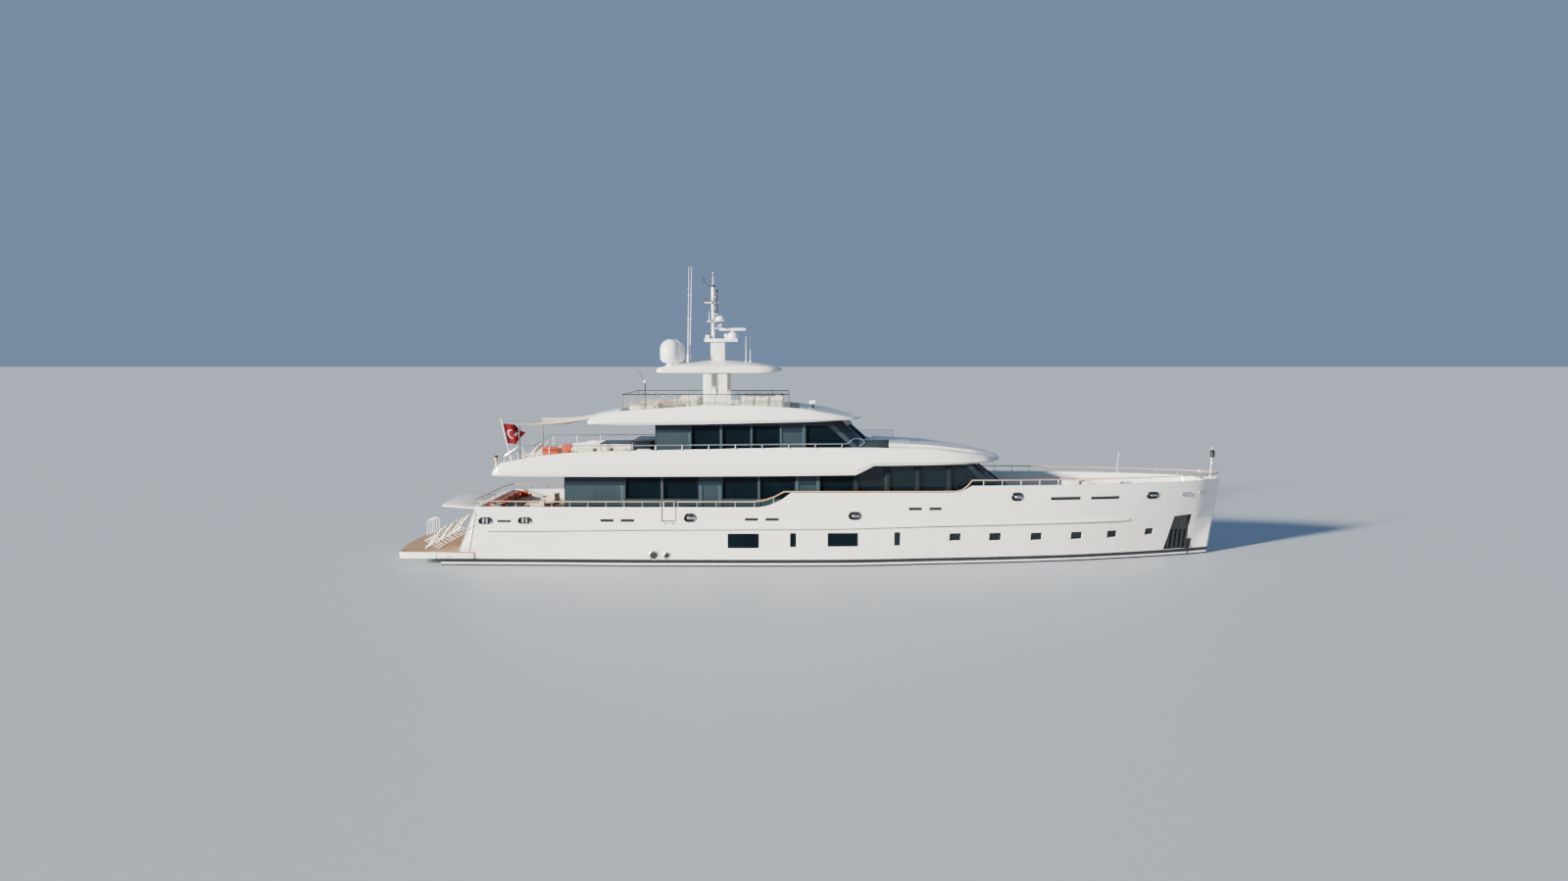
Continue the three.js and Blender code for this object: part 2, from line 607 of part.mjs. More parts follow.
function buildSternRail(hull, sideRails) {
  const top = railSteps[0][2];
  const corner = railPoint(sternRailX, 1)[1];
  const half = [[sternRailX + 0.04, corner], [sternRailX - 0.04, corner - 0.1], [-17.0, 3.0]];
  const port = half.map(([x, y]) => [x, y, top]);
  const starboard = half.map(([x, y]) => [x, -y, top]).reverse();
  const cap = bar([...port, [-17.02, 0, top], ...starboard], capWidth, capHeight);
  const posts = [-2.6, -1.3, 0, 1.3, 2.6].map((y) => rod([-16.9, y, 3.0], [-16.98, y, top - 0.02], postRadius, 5));
  const rail = clearOf(join(cap, ...posts), hull, up);
  return sideRails.reduce((rest, other) => clearOf(rest, other, fore, aft, toPort, toStarboard, up, down), rail);
}

function buildForwardRail(hull) {
  const points = railStations(gateSpan.toX + 0.03, 24.6).map((x) => railPoint(x, -1));
  const bow = [[25.12, -0.2, 4.78], [25.12, 0.2, 4.78]];
  const port = railStations(gateSpan.toX + 0.03, 24.6).map((x) => railPoint(x, 1)).reverse();
  const cap = bar([...points, ...bow, ...port], capWidth, capHeight);
  const posts = sides.flatMap(([, side]) => railPosts(gateSpan.toX + 0.08, 24.4, side));
  return clearOf(join(cap, ...posts), hull, up);
}

// Walls of a deckhouse: a plan that leans back at its front, with an equal wall inside.
function housePlan(house, z, inset) {
  const front = house.frontX - house.slope * (z - house.floor) - inset * 1.5;
  const side = house.half - inset;
  const back = house.aftX + inset;
  const corner = front - house.setback;
  return [[back, -side, z], [corner, -side, z], [front - 0.1, -side + 0.62, z], [front + 0.35, 0, z],
    [front - 0.1, side - 0.62, z], [corner, side, z], [back, side, z]];
}

function houseWalls(house, bottom, top, thickness, inset = 0) {
  const outer = loft([bottom, top].map((z) => housePlan(house, z, inset)));
  const inner = loft([bottom - 0.1, top + 0.1].map((z) => housePlan(house, z, inset + thickness)));
  return outer.subtract(inner);
}

const mainHouse = {
  half: houseHalf, aftX: houseAftX, frontX: houseFrontX, slope: houseFrontSlope, setback: houseFrontSetback,
  floor: houseFloor,
};
const upperHouse = {
  half: upperHalf, aftX: upperAftX, frontX: upperFrontX, slope: upperFrontSlope, setback: upperFrontSetback,
  floor: upperDeckLevel,
};

// Everything above the underside of a deck band.
function aboveBand(band, lift) {
  const under = band.map(([x, , low]) => [x, low + lift]);
  const start = [band[0][0] - 4, band[0][2] + lift];
  const end = [band[band.length - 1][0] + 4, band[band.length - 1][2] + lift];
  return prism([start, ...under, end, [end[0], 12], [start[0], 12]], 'y', -6, 6);
}

function windowCutters(windows, half) {
  return windows.flatMap(([fromX, toX, sill, head]) =>
    sides.map(([, side]) => box(fromX, toX, ...(side > 0 ? [half - 0.5, half + 0.5] : [-half - 0.5, -half + 0.5]),
      sill, head)));
}

function frontWindows(house, sill, head, spans) {
  return spans.map(([from, to]) => loft([sill, head].map((z) => {
    const x = house.frontX - house.slope * (z - house.floor);
    return [[x - 0.7, from, z], [x + 0.9, from, z], [x + 0.9, to, z], [x - 0.7, to, z]];
  })));
}

function buildMainHouse(hull) {
  let walls = houseWalls(mainHouse, houseFloor + gap, 5.7, wall);
  for (const cutter of windowCutters(houseWindows, houseHalf)) walls = walls.subtract(cutter);
  walls = walls.subtract(prism(houseRakedWindow, 'y', -4, 4));
  for (const pane of frontWindows(mainHouse, 4.0, 5.4, [[-2.4, -0.85], [-0.7, 0.7], [0.85, 2.4]])) {
    walls = walls.subtract(pane);
  }
  walls = walls.subtract(box(houseAftX - 1, houseAftX + 1, -aftDoorway.half, aftDoorway.half, 2.4, aftDoorway.head));
  walls = walls.add(doorTrack(mainHouse, aftDoorway));
  walls = walls.subtract(aboveBand(upperBand, -gap));
  return clearOf(walls, hull, up);
}

function buildMainGlazing(hull) {
  let glass = houseWalls(mainHouse, 3.52, 5.7, 0.03, wall + gap);
  glass = glass.subtract(box(houseAftX - 1, houseAftX + 2.0, -4, 4, 2, 7));
  glass = glass.subtract(aboveBand(upperBand, -gap));
  return clearOf(glass, hull, up);
}

// Sliding leaves hang under a track on the inside of the aft wall.
const leafOverlap = 0.1;
const leafThickness = 0.05;

function slidingLeaf(house, doorway, side) {
  const x = house.aftX + wall + 0.02;
  const [near, far] = [0.012, doorway.half + leafOverlap];
  const [fromY, toY] = side > 0 ? [near, far] : [-far, -near];
  return box(x, x + leafThickness, fromY, toY, house.floor + 0.014, doorway.head + 0.02 - gap);
}

function doorTrack(house, doorway) {
  const x = house.aftX + wall;
  return box(x - 0.02, x + 0.09, -house.half + 0.05, house.half - 0.05, doorway.head + 0.02, doorway.head + 0.1);
}

function bandRing([x, half, low, high]) {
  const middle = (low + high) / 2;
  const rise = high - low;
  const side = [[half - 0.12, low], [half, low + rise * 0.18], [half - 0.02, middle], [half - 0.1, high - rise * 0.12],
    [half - 0.2, high]];
  const port = side.map(([y, z]) => [x, y, z]);
  const starboard = side.map(([y, z]) => [x, -y, z]).reverse();
  return [...port, ...starboard];
}

function bandWell(band, well, floor, top) {
  const rows = band.filter(([x]) => x > well.fromX && x < well.toX).map(([x, half]) => [x, half]);
  const halfAt = (x) => {
    const i = Math.max(1, band.findIndex((row) => row[0] >= x));
    const [a, b] = [band[i - 1], band[i]];
    return a[1] + (b[1] - a[1]) * (x - a[0]) / (b[0] - a[0]);
  };
  const ends = [[well.fromX, halfAt(well.fromX)], ...rows, [well.toX, halfAt(well.toX)]];
  return loft(ends.map(([x, half]) => {
    const y = half - well.inset;
    return [[x, -y, floor], [x, -y, top], [x, y, top], [x, y, floor]];
  }));
}

function slabRing([x, half, low, high]) {
  return [[x, -half, low], [x, -half + 0.1, high], [x, half - 0.1, high], [x, half, low]];
}

function buildUpperDeck() {
  const band = loft(upperBand.map(bandRing)).subtract(bandWell(upperBand, upperWell, upperDeckLevel, 7));
  return band.add(loft(trunk.map(slabRing)));
}

// The solid part of the upper deck, ahead of its well, up to where the upper house stands on it.
function belowForedeck() {
  return box(upperWell.toX - 0.02, upperWell.toX + 4, -4, 4, upperDeckLevel - 1, 6.3);
}

function buildUpperHouse(deck) {
  let walls = houseWalls(upperHouse, upperDeckLevel + gap, 8.2, wall);
  for (const cutter of windowCutters(upperWindows, upperHalf)) walls = walls.subtract(cutter);
  walls = walls.subtract(prism(upperRakedWindow, 'y', -4, 4));
  for (const pane of frontWindows(upperHouse, 6.8, 7.6, [[-2.2, -0.75], [-0.6, 0.6], [0.75, 2.2]])) {
    walls = walls.subtract(pane);
  }
  walls = walls.subtract(box(upperAftX - 1, upperAftX + 1, -upperDoorway.half, upperDoorway.half, 5, upperDoorway.head));
  walls = walls.add(doorTrack(upperHouse, upperDoorway));
  walls = walls.subtract(aboveBand(roofBand, -gap)).subtract(belowForedeck());
  return clearOf(walls, deck, up, aft, toPort, toStarboard);
}

function buildUpperGlazing(deck) {
  let glass = houseWalls(upperHouse, 6.1, 8.2, 0.03, wall + gap);
  glass = glass.subtract(box(upperAftX - 1, upperAftX + 1.2, -4, 4, 5, 9));
  glass = glass.subtract(aboveBand(roofBand, -gap)).subtract(belowForedeck());
  return clearOf(glass, deck, up, aft, toPort, toStarboard);
}

function buildSunDeck() {
  return loft(roofBand.map(bandRing)).subtract(bandWell(roofBand, sunWell, sunDeckLevel, 9.5));
}

function buildScreen(deck) {
  const { fromX, toX, half, bottom, top, thickness } = screen;
  const outer = box(fromX, toX, -half, half, bottom + gap, top);
  const inner = box(fromX + thickness, toX + 1, -half + thickness, half - thickness, bottom - 1, top + 1);
  return clearOf(outer.subtract(inner), deck, up);
}

function buildHardtop() {
  return loft(hardtopRows.map(([x, half, low, shoulder, crown]) => {
    const side = [[half - 0.35, low], [half, shoulder - 0.06], [half - 0.06, shoulder + 0.03],
      [half * 0.62, crown - (crown - shoulder) * 0.3], [half * 0.25, crown]];
    return [...side.map(([y, z]) => [x, y, z]), ...side.map(([y, z]) => [x, -y, z]).reverse()];
  }));
}

function buildLeg(side, hardtop) {
  const y = side * leg.y;
  const half = leg.thickness / 2;
  const post = box(leg.fromX, leg.toX, y - half, y + half, sunDeckLevel + gap, leg.top);
  const slot = box(legSlot.fromX, legSlot.toX, y - 1, y + 1, legSlot.bottom, legSlot.top);
  return clearOf(post.subtract(slot), hardtop, down);
}

function buildMast(hardtop) {
  const { x, baseHalf, baseTop, platformZ, platformHalf, poleX, poleRadius, poleTop, tip } = mast;
  const half = mast.baseWidth / 2;
  const base = box(x - baseHalf, x + baseHalf, -half, half, 10.9, baseTop);
  const platform = box(mast.platformFromX, mast.platformToX, -platformHalf, platformHalf, baseTop - 0.02, platformZ);
  const foot = platformZ - 0.05;
  const pole = rod([poleX, 0, foot], [poleX, 0, poleTop], poleRadius, 10);
  const topmast = rod([poleX, 0, poleTop - 0.05], [poleX, 0, tip], 0.03, 6);
  const pedestal = rod([radar.x, 0, foot], [radar.x, 0, radar.pedestalTop], radar.pedestalRadius, 10);
  const arms = mastArms.map(([z, reachOut, radius]) => rod([poleX, -reachOut, z], [poleX, reachOut, z], radius, 6));
  return clearOf(join(base, platform, pole, topmast, pedestal, ...arms), hardtop, up);
}

function buildScanner() {
  const { x, z, length, width, height, pedestalTop } = radar;
  const beam = box(x - length / 2, x + length / 2, -width / 2, width / 2, z, z + height);
  return beam.add(rod([x, 0, pedestalTop + gap], [x, 0, z + 0.02], 0.06, 8));
}

function buildRadome(side, hardtop) {
  const { x, y, radius, bottom, top } = radome;
  const dome = top - radius;
  const profile = [[0, 10.7 - bottom], [0.22, 10.7 - bottom], [0.22, 0.02], [radius * 0.72, 0.04], [radius, 0.26],
    [radius, dome - bottom]];
  for (const angle of [22, 45, 67]) {
    const a = THREE.MathUtils.degToRad(angle);
    profile.push([radius * Math.cos(a), dome - bottom + radius * Math.sin(a)]);
  }
  profile.push([0, top - bottom]);
  return clearOf(lathe(profile, [x, side * y, bottom]), hardtop, up);
}

function buildWhip(x, y, top, hardtop) {
  const foot = rod([x, y, 10.8], [x, y, 11.5], 0.06, 6);
  return clearOf(foot.add(rod([x, y, 11.4], [x, y, top], whipRadius, 5)), hardtop, up);
}

function buildAwning() {
  const { foreX, foreZ, aftX, aftZ, foreHalf, aftHalf, thickness } = awning;
  return loft([[foreX, foreHalf, foreZ], [aftX, aftHalf, aftZ]].map(([x, half, z]) =>
    [[x, -half, z], [x, -half, z - thickness], [x, half, z - thickness], [x, half, z]]));
}

function buildAwningPole(side, deck) {
  const { x, y, radius } = awningPole;
  const pole = rod([x, side * y, upperDeckLevel - 0.1], [x, side * y, awning.aftZ - 0.01], radius, 8);
  return clearOf(clearOf(pole, deck, up), buildAwning(), down);
}

function buildFlagstaff(deck) {
  return clearOf(rod(staff.foot, staff.top, staff.radius, 8), deck, up);
}

function buildFlag(flagstaff) {
  const slope = (staff.top[0] - staff.foot[0]) / (staff.top[2] - staff.foot[2]);
  const hoist = (z) => staff.foot[0] + slope * (z - staff.foot[2]) + staff.radius * 0.5;
  const outline = [[hoist(flagSheet.low), flagSheet.low], [flagSheet.fore - 0.2, flagSheet.low + 0.05],
    [flagSheet.fore, 7.3], [hoist(flagSheet.high), flagSheet.high]];
  const sheet = prism(outline, 'y', -flagSheet.thickness / 2, flagSheet.thickness / 2);
  return clearOf(sheet, flagstaff, fore, toPort, toStarboard);
}

function softBlock(fromX, toX, half, floor, seat, backFromX, backToX, back) {
  return join(box(fromX, toX, -half, half, floor + gap, seat), box(backFromX, backToX, -half, half, floor + gap, back));
}

function buildPocketRibs(side) {
  const y = pocketDepth + gap;
  const plate = prism(anchorPocket.map(([x, z]) => [x + (x > 22.5 ? -0.03 : 0.03), z + (z > 1.5 ? -0.03 : 0.03)]),
    'y', y, y + 0.04);
  const ribs = [0, 1, 2, 3, 4].map((i) => {
    const x = 21.98 + i * 0.25;
    return prism([[x, 0.46], [x + 0.1, 0.46], [x + 0.2, 1.5], [x + 0.1, 1.5]], 'y', y + 0.02, y + 0.2);
  });
  const grille = join(plate, ...ribs);
  return side > 0 ? grille : mirrored(grille);
}

function buildWindlass() {
  const base = box(17.1, 17.8, -0.9, 0.9, 3.5 + gap, 3.66);
  const motors = [-0.55, 0.55].map((y) => rod([17.45, y, 3.6], [17.45, y, 4.2], 0.2, 12));
  return join(base, ...motors);
}

function buildJackstaff(hull) {
  const staffRod = rod([24.75, 0, 4.4], [24.85, 0, 6.2], 0.03, 6);
  const foot = box(24.4, 25.1, -0.06, 0.06, 4.38, 4.46);
  return clearOf(staffRod.add(foot), hull, up);
}

const materials = {
  white: { color: 0xf2efe8, roughness: 0.3, metalness: 0 },
  wall: { color: 0x33424e, roughness: 0.35, metalness: 0 },
  glass: { color: 0x16242e, roughness: 0.1, metalness: 0 },
  teak: { color: 0xb98a5e, roughness: 0.6, metalness: 0 },
  steel: { color: 0xc4c8cc, roughness: 0.2, metalness: 1 },
  bronze: { color: 0xb0894a, roughness: 0.35, metalness: 1 },
  dark: { color: 0x2a2d30, roughness: 0.6, metalness: 0 },
  cloth: { color: 0xd9c7a5, roughness: 0.9, metalness: 0 },
  orange: { color: 0xd4582a, roughness: 0.9, metalness: 0 },
  red: { color: 0xb01226, roughness: 0.9, metalness: 0 },
};

const yacht = new THREE.Group();
yacht.name = 'motor_yacht';

function place(name, body, material) {
  const { vertProperties, triVerts } = body.getMesh();
  const geometry = new THREE.BufferGeometry();
  geometry.setAttribute('position', new THREE.Float32BufferAttribute(vertProperties, 3));
  geometry.setIndex(new THREE.Uint32BufferAttribute(triVerts, 1));
  geometry.scale(modelMmPerMetre, modelMmPerMetre, modelMmPerMetre);
  geometry.computeVertexNormals();
  const mesh = new THREE.Mesh(geometry, new THREE.MeshStandardMaterial(materials[material]));
  mesh.name = name;
  yacht.add(mesh);
}

const hull = buildHull();
const upperDeck = buildUpperDeck();
const sunDeck = buildSunDeck();
const hardtop = buildHardtop();
const flagstaff = buildFlagstaff(upperDeck);

const sideRails = sides.map(([, side]) => buildSideRail(side, hull));

for (const [name, block] of Object.entries(hullBlocks(hull))) place(name, block, 'white');
place('swim_platform', buildPlatform(hull), 'white');
place('transom_door', buildTransomDoor(), 'white');
place('cap_rail_stern', buildSternRail(hull, sideRails), 'teak');
place('cap_rail_forward', buildForwardRail(hull), 'teak');
place('main_house', buildMainHouse(hull), 'wall');
place('main_glazing', buildMainGlazing(hull), 'glass');
place('upper_deck', upperDeck, 'white');
place('upper_house', buildUpperHouse(upperDeck), 'wall');
place('upper_glazing', buildUpperGlazing(upperDeck), 'glass');
place('sun_deck', sunDeck, 'white');
place('sun_deck_screen', buildScreen(sunDeck), 'glass');
place('sunpad', box(-8.6, -6.9, -2.4, 2.4, sunDeckLevel + gap, 8.75), 'cloth');
place('sun_sofa_aft', softBlock(-6.15, -5.2, 2.4, sunDeckLevel, 8.6, -5.2, -4.7, 9.15), 'cloth');
place('sun_sofa_forward', softBlock(-2.4, -0.6, 2.4, sunDeckLevel, 8.6, -0.6, 0.03, 9.25), 'cloth');
place('hardtop', hardtop, 'white');
place('mast', buildMast(hardtop), 'white');
place('radar_scanner', buildScanner(), 'white');
place('awning', buildAwning(), 'cloth');
place('flagstaff', flagstaff, 'white');
place('flag', buildFlag(flagstaff), 'red');
place('aft_sofa', softBlock(-15.9, -15.1, 2.6, 2.5, 2.95, -16.4, -15.9, 3.35), 'orange');
place('upper_sofa', softBlock(-12.6, -11.6, 1.6, upperDeckLevel, 5.8, -13.0, -12.6, 6.25), 'orange');
place('windlass', buildWindlass(), 'steel');
place('jackstaff', buildJackstaff(hull), 'white');
for (const [name, x, y, top] of whips) place(`whip_${name}`, buildWhip(x, y, top, hardtop), 'white');
sides.forEach(([name], i) => place(`cap_rail_aft_${name}`, sideRails[i], 'teak'));
for (const [name, side] of sides) {
  place(`engine_${name}`, buildEngine(side), 'dark');
  place(`shaft_${name}`, buildShaft(side, hull), 'steel');
  place(`propeller_${name}`, buildPropeller(side), 'bronze');
  place(`rudder_${name}`, buildRudder(side), 'dark');
  place(`fin_${name}`, buildFin(side), 'dark');
  place(`gate_${name}`, buildGate(side), 'white');
  place(`saloon_door_${name}`, slidingLeaf(mainHouse, aftDoorway, side), 'glass');
  place(`upper_door_${name}`, slidingLeaf(upperHouse, upperDoorway, side), 'glass');
  place(`hardtop_leg_${name}`, buildLeg(side, hardtop), 'white');
  place(`radome_${name}`, buildRadome(side, hardtop), 'white');
  place(`awning_pole_${name}`, buildAwningPole(side, upperDeck), 'steel');
  place(`anchor_pocket_${name}`, buildPocketRibs(side), 'steel');
}

export default yacht;
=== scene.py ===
import json
import math

import bpy
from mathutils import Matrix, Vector
from mathutils.bvhtree import BVHTree


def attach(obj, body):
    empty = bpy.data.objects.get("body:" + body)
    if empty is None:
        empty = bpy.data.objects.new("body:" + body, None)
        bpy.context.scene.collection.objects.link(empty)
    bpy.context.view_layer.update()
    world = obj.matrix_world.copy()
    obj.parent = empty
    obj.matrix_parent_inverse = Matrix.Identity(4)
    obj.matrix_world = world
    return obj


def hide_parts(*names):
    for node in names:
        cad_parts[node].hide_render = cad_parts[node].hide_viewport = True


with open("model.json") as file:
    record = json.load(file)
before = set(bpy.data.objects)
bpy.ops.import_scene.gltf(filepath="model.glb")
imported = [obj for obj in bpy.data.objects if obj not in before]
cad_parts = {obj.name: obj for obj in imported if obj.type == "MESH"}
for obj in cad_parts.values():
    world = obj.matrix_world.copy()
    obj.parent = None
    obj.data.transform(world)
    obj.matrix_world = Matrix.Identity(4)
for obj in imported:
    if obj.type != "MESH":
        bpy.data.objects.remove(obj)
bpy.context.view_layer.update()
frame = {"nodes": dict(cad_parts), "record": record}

modelScale = 0.5  # the model is half the yacht's size, and the values below are metres on the yacht
rootBody = "yacht"
bothSides = {"starboard": -1, "port": 1}
weldDistance = 0.00005  # in the model


def say(text):
    print("yacht:", text)


def scaled(values):
    return [value * modelScale for value in values]


# Modelling helpers
def pick(*pieces):
    bpy.ops.object.select_all(action="DESELECT")
    for piece in pieces:
        piece.select_set(True)
    bpy.context.view_layer.objects.active = pieces[0]


def applyAll(piece):
    pick(piece)
    bpy.ops.object.transform_apply(location=True, rotation=True, scale=True)


def editAll(piece):
    pick(piece)
    bpy.ops.object.mode_set(mode="EDIT")
    bpy.ops.mesh.select_all(action="SELECT")


def leaveEdit():
    bpy.ops.object.mode_set(mode="OBJECT")


def selectFaces(piece, test):
    editAll(piece)
    bpy.ops.mesh.select_all(action="DESELECT")
    bpy.ops.mesh.select_mode(type="FACE")
    leaveEdit()
    for face in piece.data.polygons:
        face.select = test(face)
    bpy.ops.object.mode_set(mode="EDIT")


def mergeDoubles(piece):
    editAll(piece)
    bpy.ops.mesh.remove_doubles(threshold=weldDistance)
    leaveEdit()


def faceOutwards(piece):
    editAll(piece)
    bpy.ops.mesh.normals_make_consistent(inside=False)
    leaveEdit()


def smooth(piece, angle=32):
    pick(piece)
    bpy.ops.object.shade_smooth_by_angle(angle=math.radians(angle))


def modify(piece, kind, **settings):
    pick(piece)
    modifier = piece.modifiers.new(kind.title(), kind)
    for key, value in settings.items():
        setattr(modifier, key, value)
    bpy.ops.object.modifier_apply(modifier=modifier.name)


def roundEdges(piece, width, segments=2, angle=35):
    modify(piece, "BEVEL", width=width * modelScale, segments=segments, limit_method="ANGLE",
           angle_limit=math.radians(angle), use_clamp_overlap=True)


# the object that an operator has just made
def newest(name):
    piece = bpy.context.object
    piece.name = name
    return piece


def block(name, low, high, bevel=0.02, segments=2):
    bpy.ops.object.select_all(action="DESELECT")
    bpy.ops.mesh.primitive_cube_add(size=1, location=scaled([(a + b) / 2 for a, b in zip(low, high)]))
    piece = newest(name)
    piece.scale = scaled([b - a for a, b in zip(low, high)])
    applyAll(piece)
    if bevel:
        editAll(piece)
        bpy.ops.mesh.bevel(offset=bevel * modelScale, segments=segments, affect="EDGES")
        leaveEdit()
    return piece


# runs are lists of points
def pipes(name, runs, radius, sides=8, closed=False):
    bpy.ops.object.select_all(action="DESELECT")
    bpy.ops.curve.primitive_bezier_curve_add(location=(0, 0, 0))
    piece = newest(name)
    curve = piece.data
    curve.splines.clear()
    for points in runs:
        spline = curve.splines.new("POLY")
        spline.points.add(len(points) - 1)
        for point, place in zip(spline.points, points):
            point.co = (*scaled(place), 1)
        spline.use_cyclic_u = closed
    curve.dimensions = "3D"
    curve.bevel_depth = radius * modelScale
    curve.bevel_resolution = max(0, sides // 2 - 2)
    curve.use_fill_caps = True
    bpy.ops.object.convert(target="MESH")
    faceOutwards(bpy.context.object)
    return bpy.context.object





cornerSteps = 4


# a path with its corners rounded
def rounded(points, reach):
    out = [points[0]]
    for a, b, c in zip(points, points[1:], points[2:]):
        a, b, c = Vector(a), Vector(b), Vector(c)
        start = b + (a - b).normalized() * min(reach, (a - b).length / 2)
        end = b + (c - b).normalized() * min(reach, (c - b).length / 2)
        for i in range(cornerSteps + 1):
            share = i / cornerSteps
            out.append(tuple(start.lerp(b, share).lerp(b.lerp(end, share), share)))
    return [*out, points[-1]]


# a sheet whose shape is given from its two shares across, from 0 to 1, and the area of one face
def clothGrid(name, columns, rows, shape, thickness):
    bpy.ops.object.select_all(action="DESELECT")
    bpy.ops.mesh.primitive_grid_add(x_subdivisions=columns, y_subdivisions=rows, size=2)
    piece = newest(name)
    for vertex in piece.data.vertices:
        vertex.co = scaled(shape((vertex.co.x + 1) / 2, (vertex.co.y + 1) / 2))
    area = sum(face.area for face in piece.data.polygons)
    modify(piece, "SOLIDIFY", thickness=thickness * modelScale, offset=0)
    return piece, area


def rod(name, start, end, radius, sides=16, endRadius=None):
    a, b = Vector(scaled(start)), Vector(scaled(end))
    tip = radius if endRadius is None else endRadius
    bpy.ops.object.select_all(action="DESELECT")
    bpy.ops.mesh.primitive_cone_add(vertices=sides, radius1=radius * modelScale, radius2=tip * modelScale,
                                    depth=(b - a).length, location=(a + b) / 2)
    piece = newest(name)
    piece.rotation_euler = (b - a).to_track_quat("Z", "Y").to_euler()
    applyAll(piece)
    return piece


# a rod that stands on its foot
def upright(name, foot, height, radius, sides=16, endRadius=None):
    return rod(name, foot, (foot[0], foot[1], foot[2] + height), radius, sides, endRadius)


# a profile of (radius, height) turned round the vertical line through its place
def spun(name, place, profile, steps=32):
    bpy.ops.object.select_all(action="DESELECT")
    bpy.ops.mesh.primitive_plane_add(size=0.01)
    piece = newest(name)
    editAll(piece)
    bpy.ops.mesh.select_mode(type="VERT")
    bpy.ops.mesh.select_all(action="SELECT")
    bpy.ops.mesh.merge(type="CENTER")
    bpy.ops.transform.translate(value=scaled((profile[0][0], 0, profile[0][1])))
    for (r0, z0), (r1, z1) in zip(profile, profile[1:]):
        bpy.ops.mesh.extrude_region_move(TRANSFORM_OT_translate={"value": scaled((r1 - r0, 0, z1 - z0))})
    bpy.ops.mesh.select_all(action="SELECT")
    bpy.ops.mesh.spin(steps=steps, angle=2 * math.pi, center=(0, 0, 0), axis=(0, 0, 1))
    bpy.ops.mesh.select_all(action="SELECT")
    bpy.ops.mesh.remove_doubles(threshold=weldDistance)
    bpy.ops.mesh.normals_make_consistent(inside=False)
    leaveEdit()
    piece.location = scaled(place)
    applyAll(piece)
    return piece


# a closed body extruded from ring to ring
def lofted(name, rings):
    bpy.ops.object.select_all(action="DESELECT")
    bpy.ops.mesh.primitive_circle_add(vertices=len(rings[0]), fill_type="NGON")
    piece = newest(name)
    for number, ring in enumerate(rings):
        bpy.ops.object.mode_set(mode="EDIT")
        bpy.ops.mesh.select_mode(type="FACE")
        if number:
            bpy.ops.mesh.extrude_region_move()
        leaveEdit()
        face = next(face for face in piece.data.polygons if face.select)
        for index, point in zip(face.vertices, ring):
            piece.data.vertices[index].co = scaled(point)
    faceOutwards(piece)
    return piece


def ball(name, centre, radius, squash=1.0):
    bpy.ops.object.select_all(action="DESELECT")
    bpy.ops.mesh.primitive_uv_sphere_add(segments=24, ring_count=12, radius=radius * modelScale,
                                         location=scaled(centre))
    piece = newest(name)
    piece.scale = (1, 1, squash)
    applyAll(piece)
    return piece


def merged(name, pieces):
    pick(*pieces)
    if len(pieces) > 1:
        bpy.ops.object.join()
    pieces[0].name = name
    return pieces[0]


def copied(piece, name, shift=(0, 0, 0), turn=0, mirror=False, stretch=(1, 1, 1)):
    pick(piece)
    bpy.ops.object.duplicate()
    copy = newest(name)
    copy.scale = (stretch[0], stretch[1] * (-1 if mirror else 1), stretch[2])
    copy.rotation_euler = (0, 0, math.radians(turn))
    copy.location = scaled(shift)
    applyAll(copy)
    if mirror:
        faceOutwards(copy)
    return copy


def discard(piece):
    mesh = piece.data
    bpy.data.objects.remove(piece)
    bpy.data.meshes.remove(mesh)


def fromNodes(name, *nodeNames):
    copies = []
    for nodeName in nodeNames:
        copy = bpy.data.objects.new(nodeName, frame["nodes"][nodeName].data.copy())
        bpy.context.scene.collection.objects.link(copy)
        copy.data.materials.clear()
        copies.append(copy)
    piece = merged(name, copies)
    mergeDoubles(piece)
    return piece


def dress(piece, finishName, body=rootBody, angle=32):
    finish, slotName = finishes[finishName]
    if not piece.data.materials:
        piece.data.materials.append(finish)
    else:
        piece.data.materials[0] = finish
    smooth(piece, angle)
    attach(piece, body)
    return piece


# a CAD piece with its edges rounded
def eased(name, nodeName, finishName, width, segments, limit, angle=40, body=rootBody):
    piece = fromNodes(name, nodeName)
    roundEdges(piece, width, segments, limit)
    return dress(piece, finishName, body, angle)


# gives the faces that pass the test a second finish
def addFinish(piece, finishName, test):
    piece.data.materials.append(finishes[finishName][0])
    index = len(piece.data.materials) - 1
    for face in piece.data.polygons:
        if test(face):
            face.material_index = index


# Finishes
# inputs are given as in_Name or in_0, all else is a property of the node
def node(tree, kind, **settings):
    made = tree.nodes.new(kind)
    for key, value in settings.items():
        if key.startswith("in_"):
            title = key[3:].replace("_", " ")
            made.inputs[int(title) if title.isdigit() else title].default_value = value
        else:
            setattr(made, key, value)
    return made


def newGroup(name, inputs, outputs):
    group = bpy.data.node_groups.new(name, "ShaderNodeTree")
    for title, value in inputs.items():
        kind = "NodeSocketColor" if isinstance(value, tuple) else "NodeSocketFloat"
        socket = group.interface.new_socket(name=title, in_out="INPUT", socket_type=kind)
        socket.default_value = (*value, 1) if isinstance(value, tuple) else value
    for title, kind in outputs.items():
        group.interface.new_socket(name=title, in_out="OUTPUT", socket_type="NodeSocket" + kind)
    return group, group.nodes.new("NodeGroupInput").outputs, group.nodes.new("NodeGroupOutput").inputs


# puts a number, a colour or what another node gives into a socket
def feed(tree, socket, value):
    if isinstance(value, tuple):
        socket.default_value = (*value, 1)
    elif isinstance(value, (int, float)):
        socket.default_value = value
    else:
        tree.links.new(value, socket)


def mathNode(tree, operation, *values):
    made = node(tree, "ShaderNodeMath", operation=operation)
    for socket, value in zip(made.inputs, values):
        feed(tree, socket, value)
    return made.outputs[0]


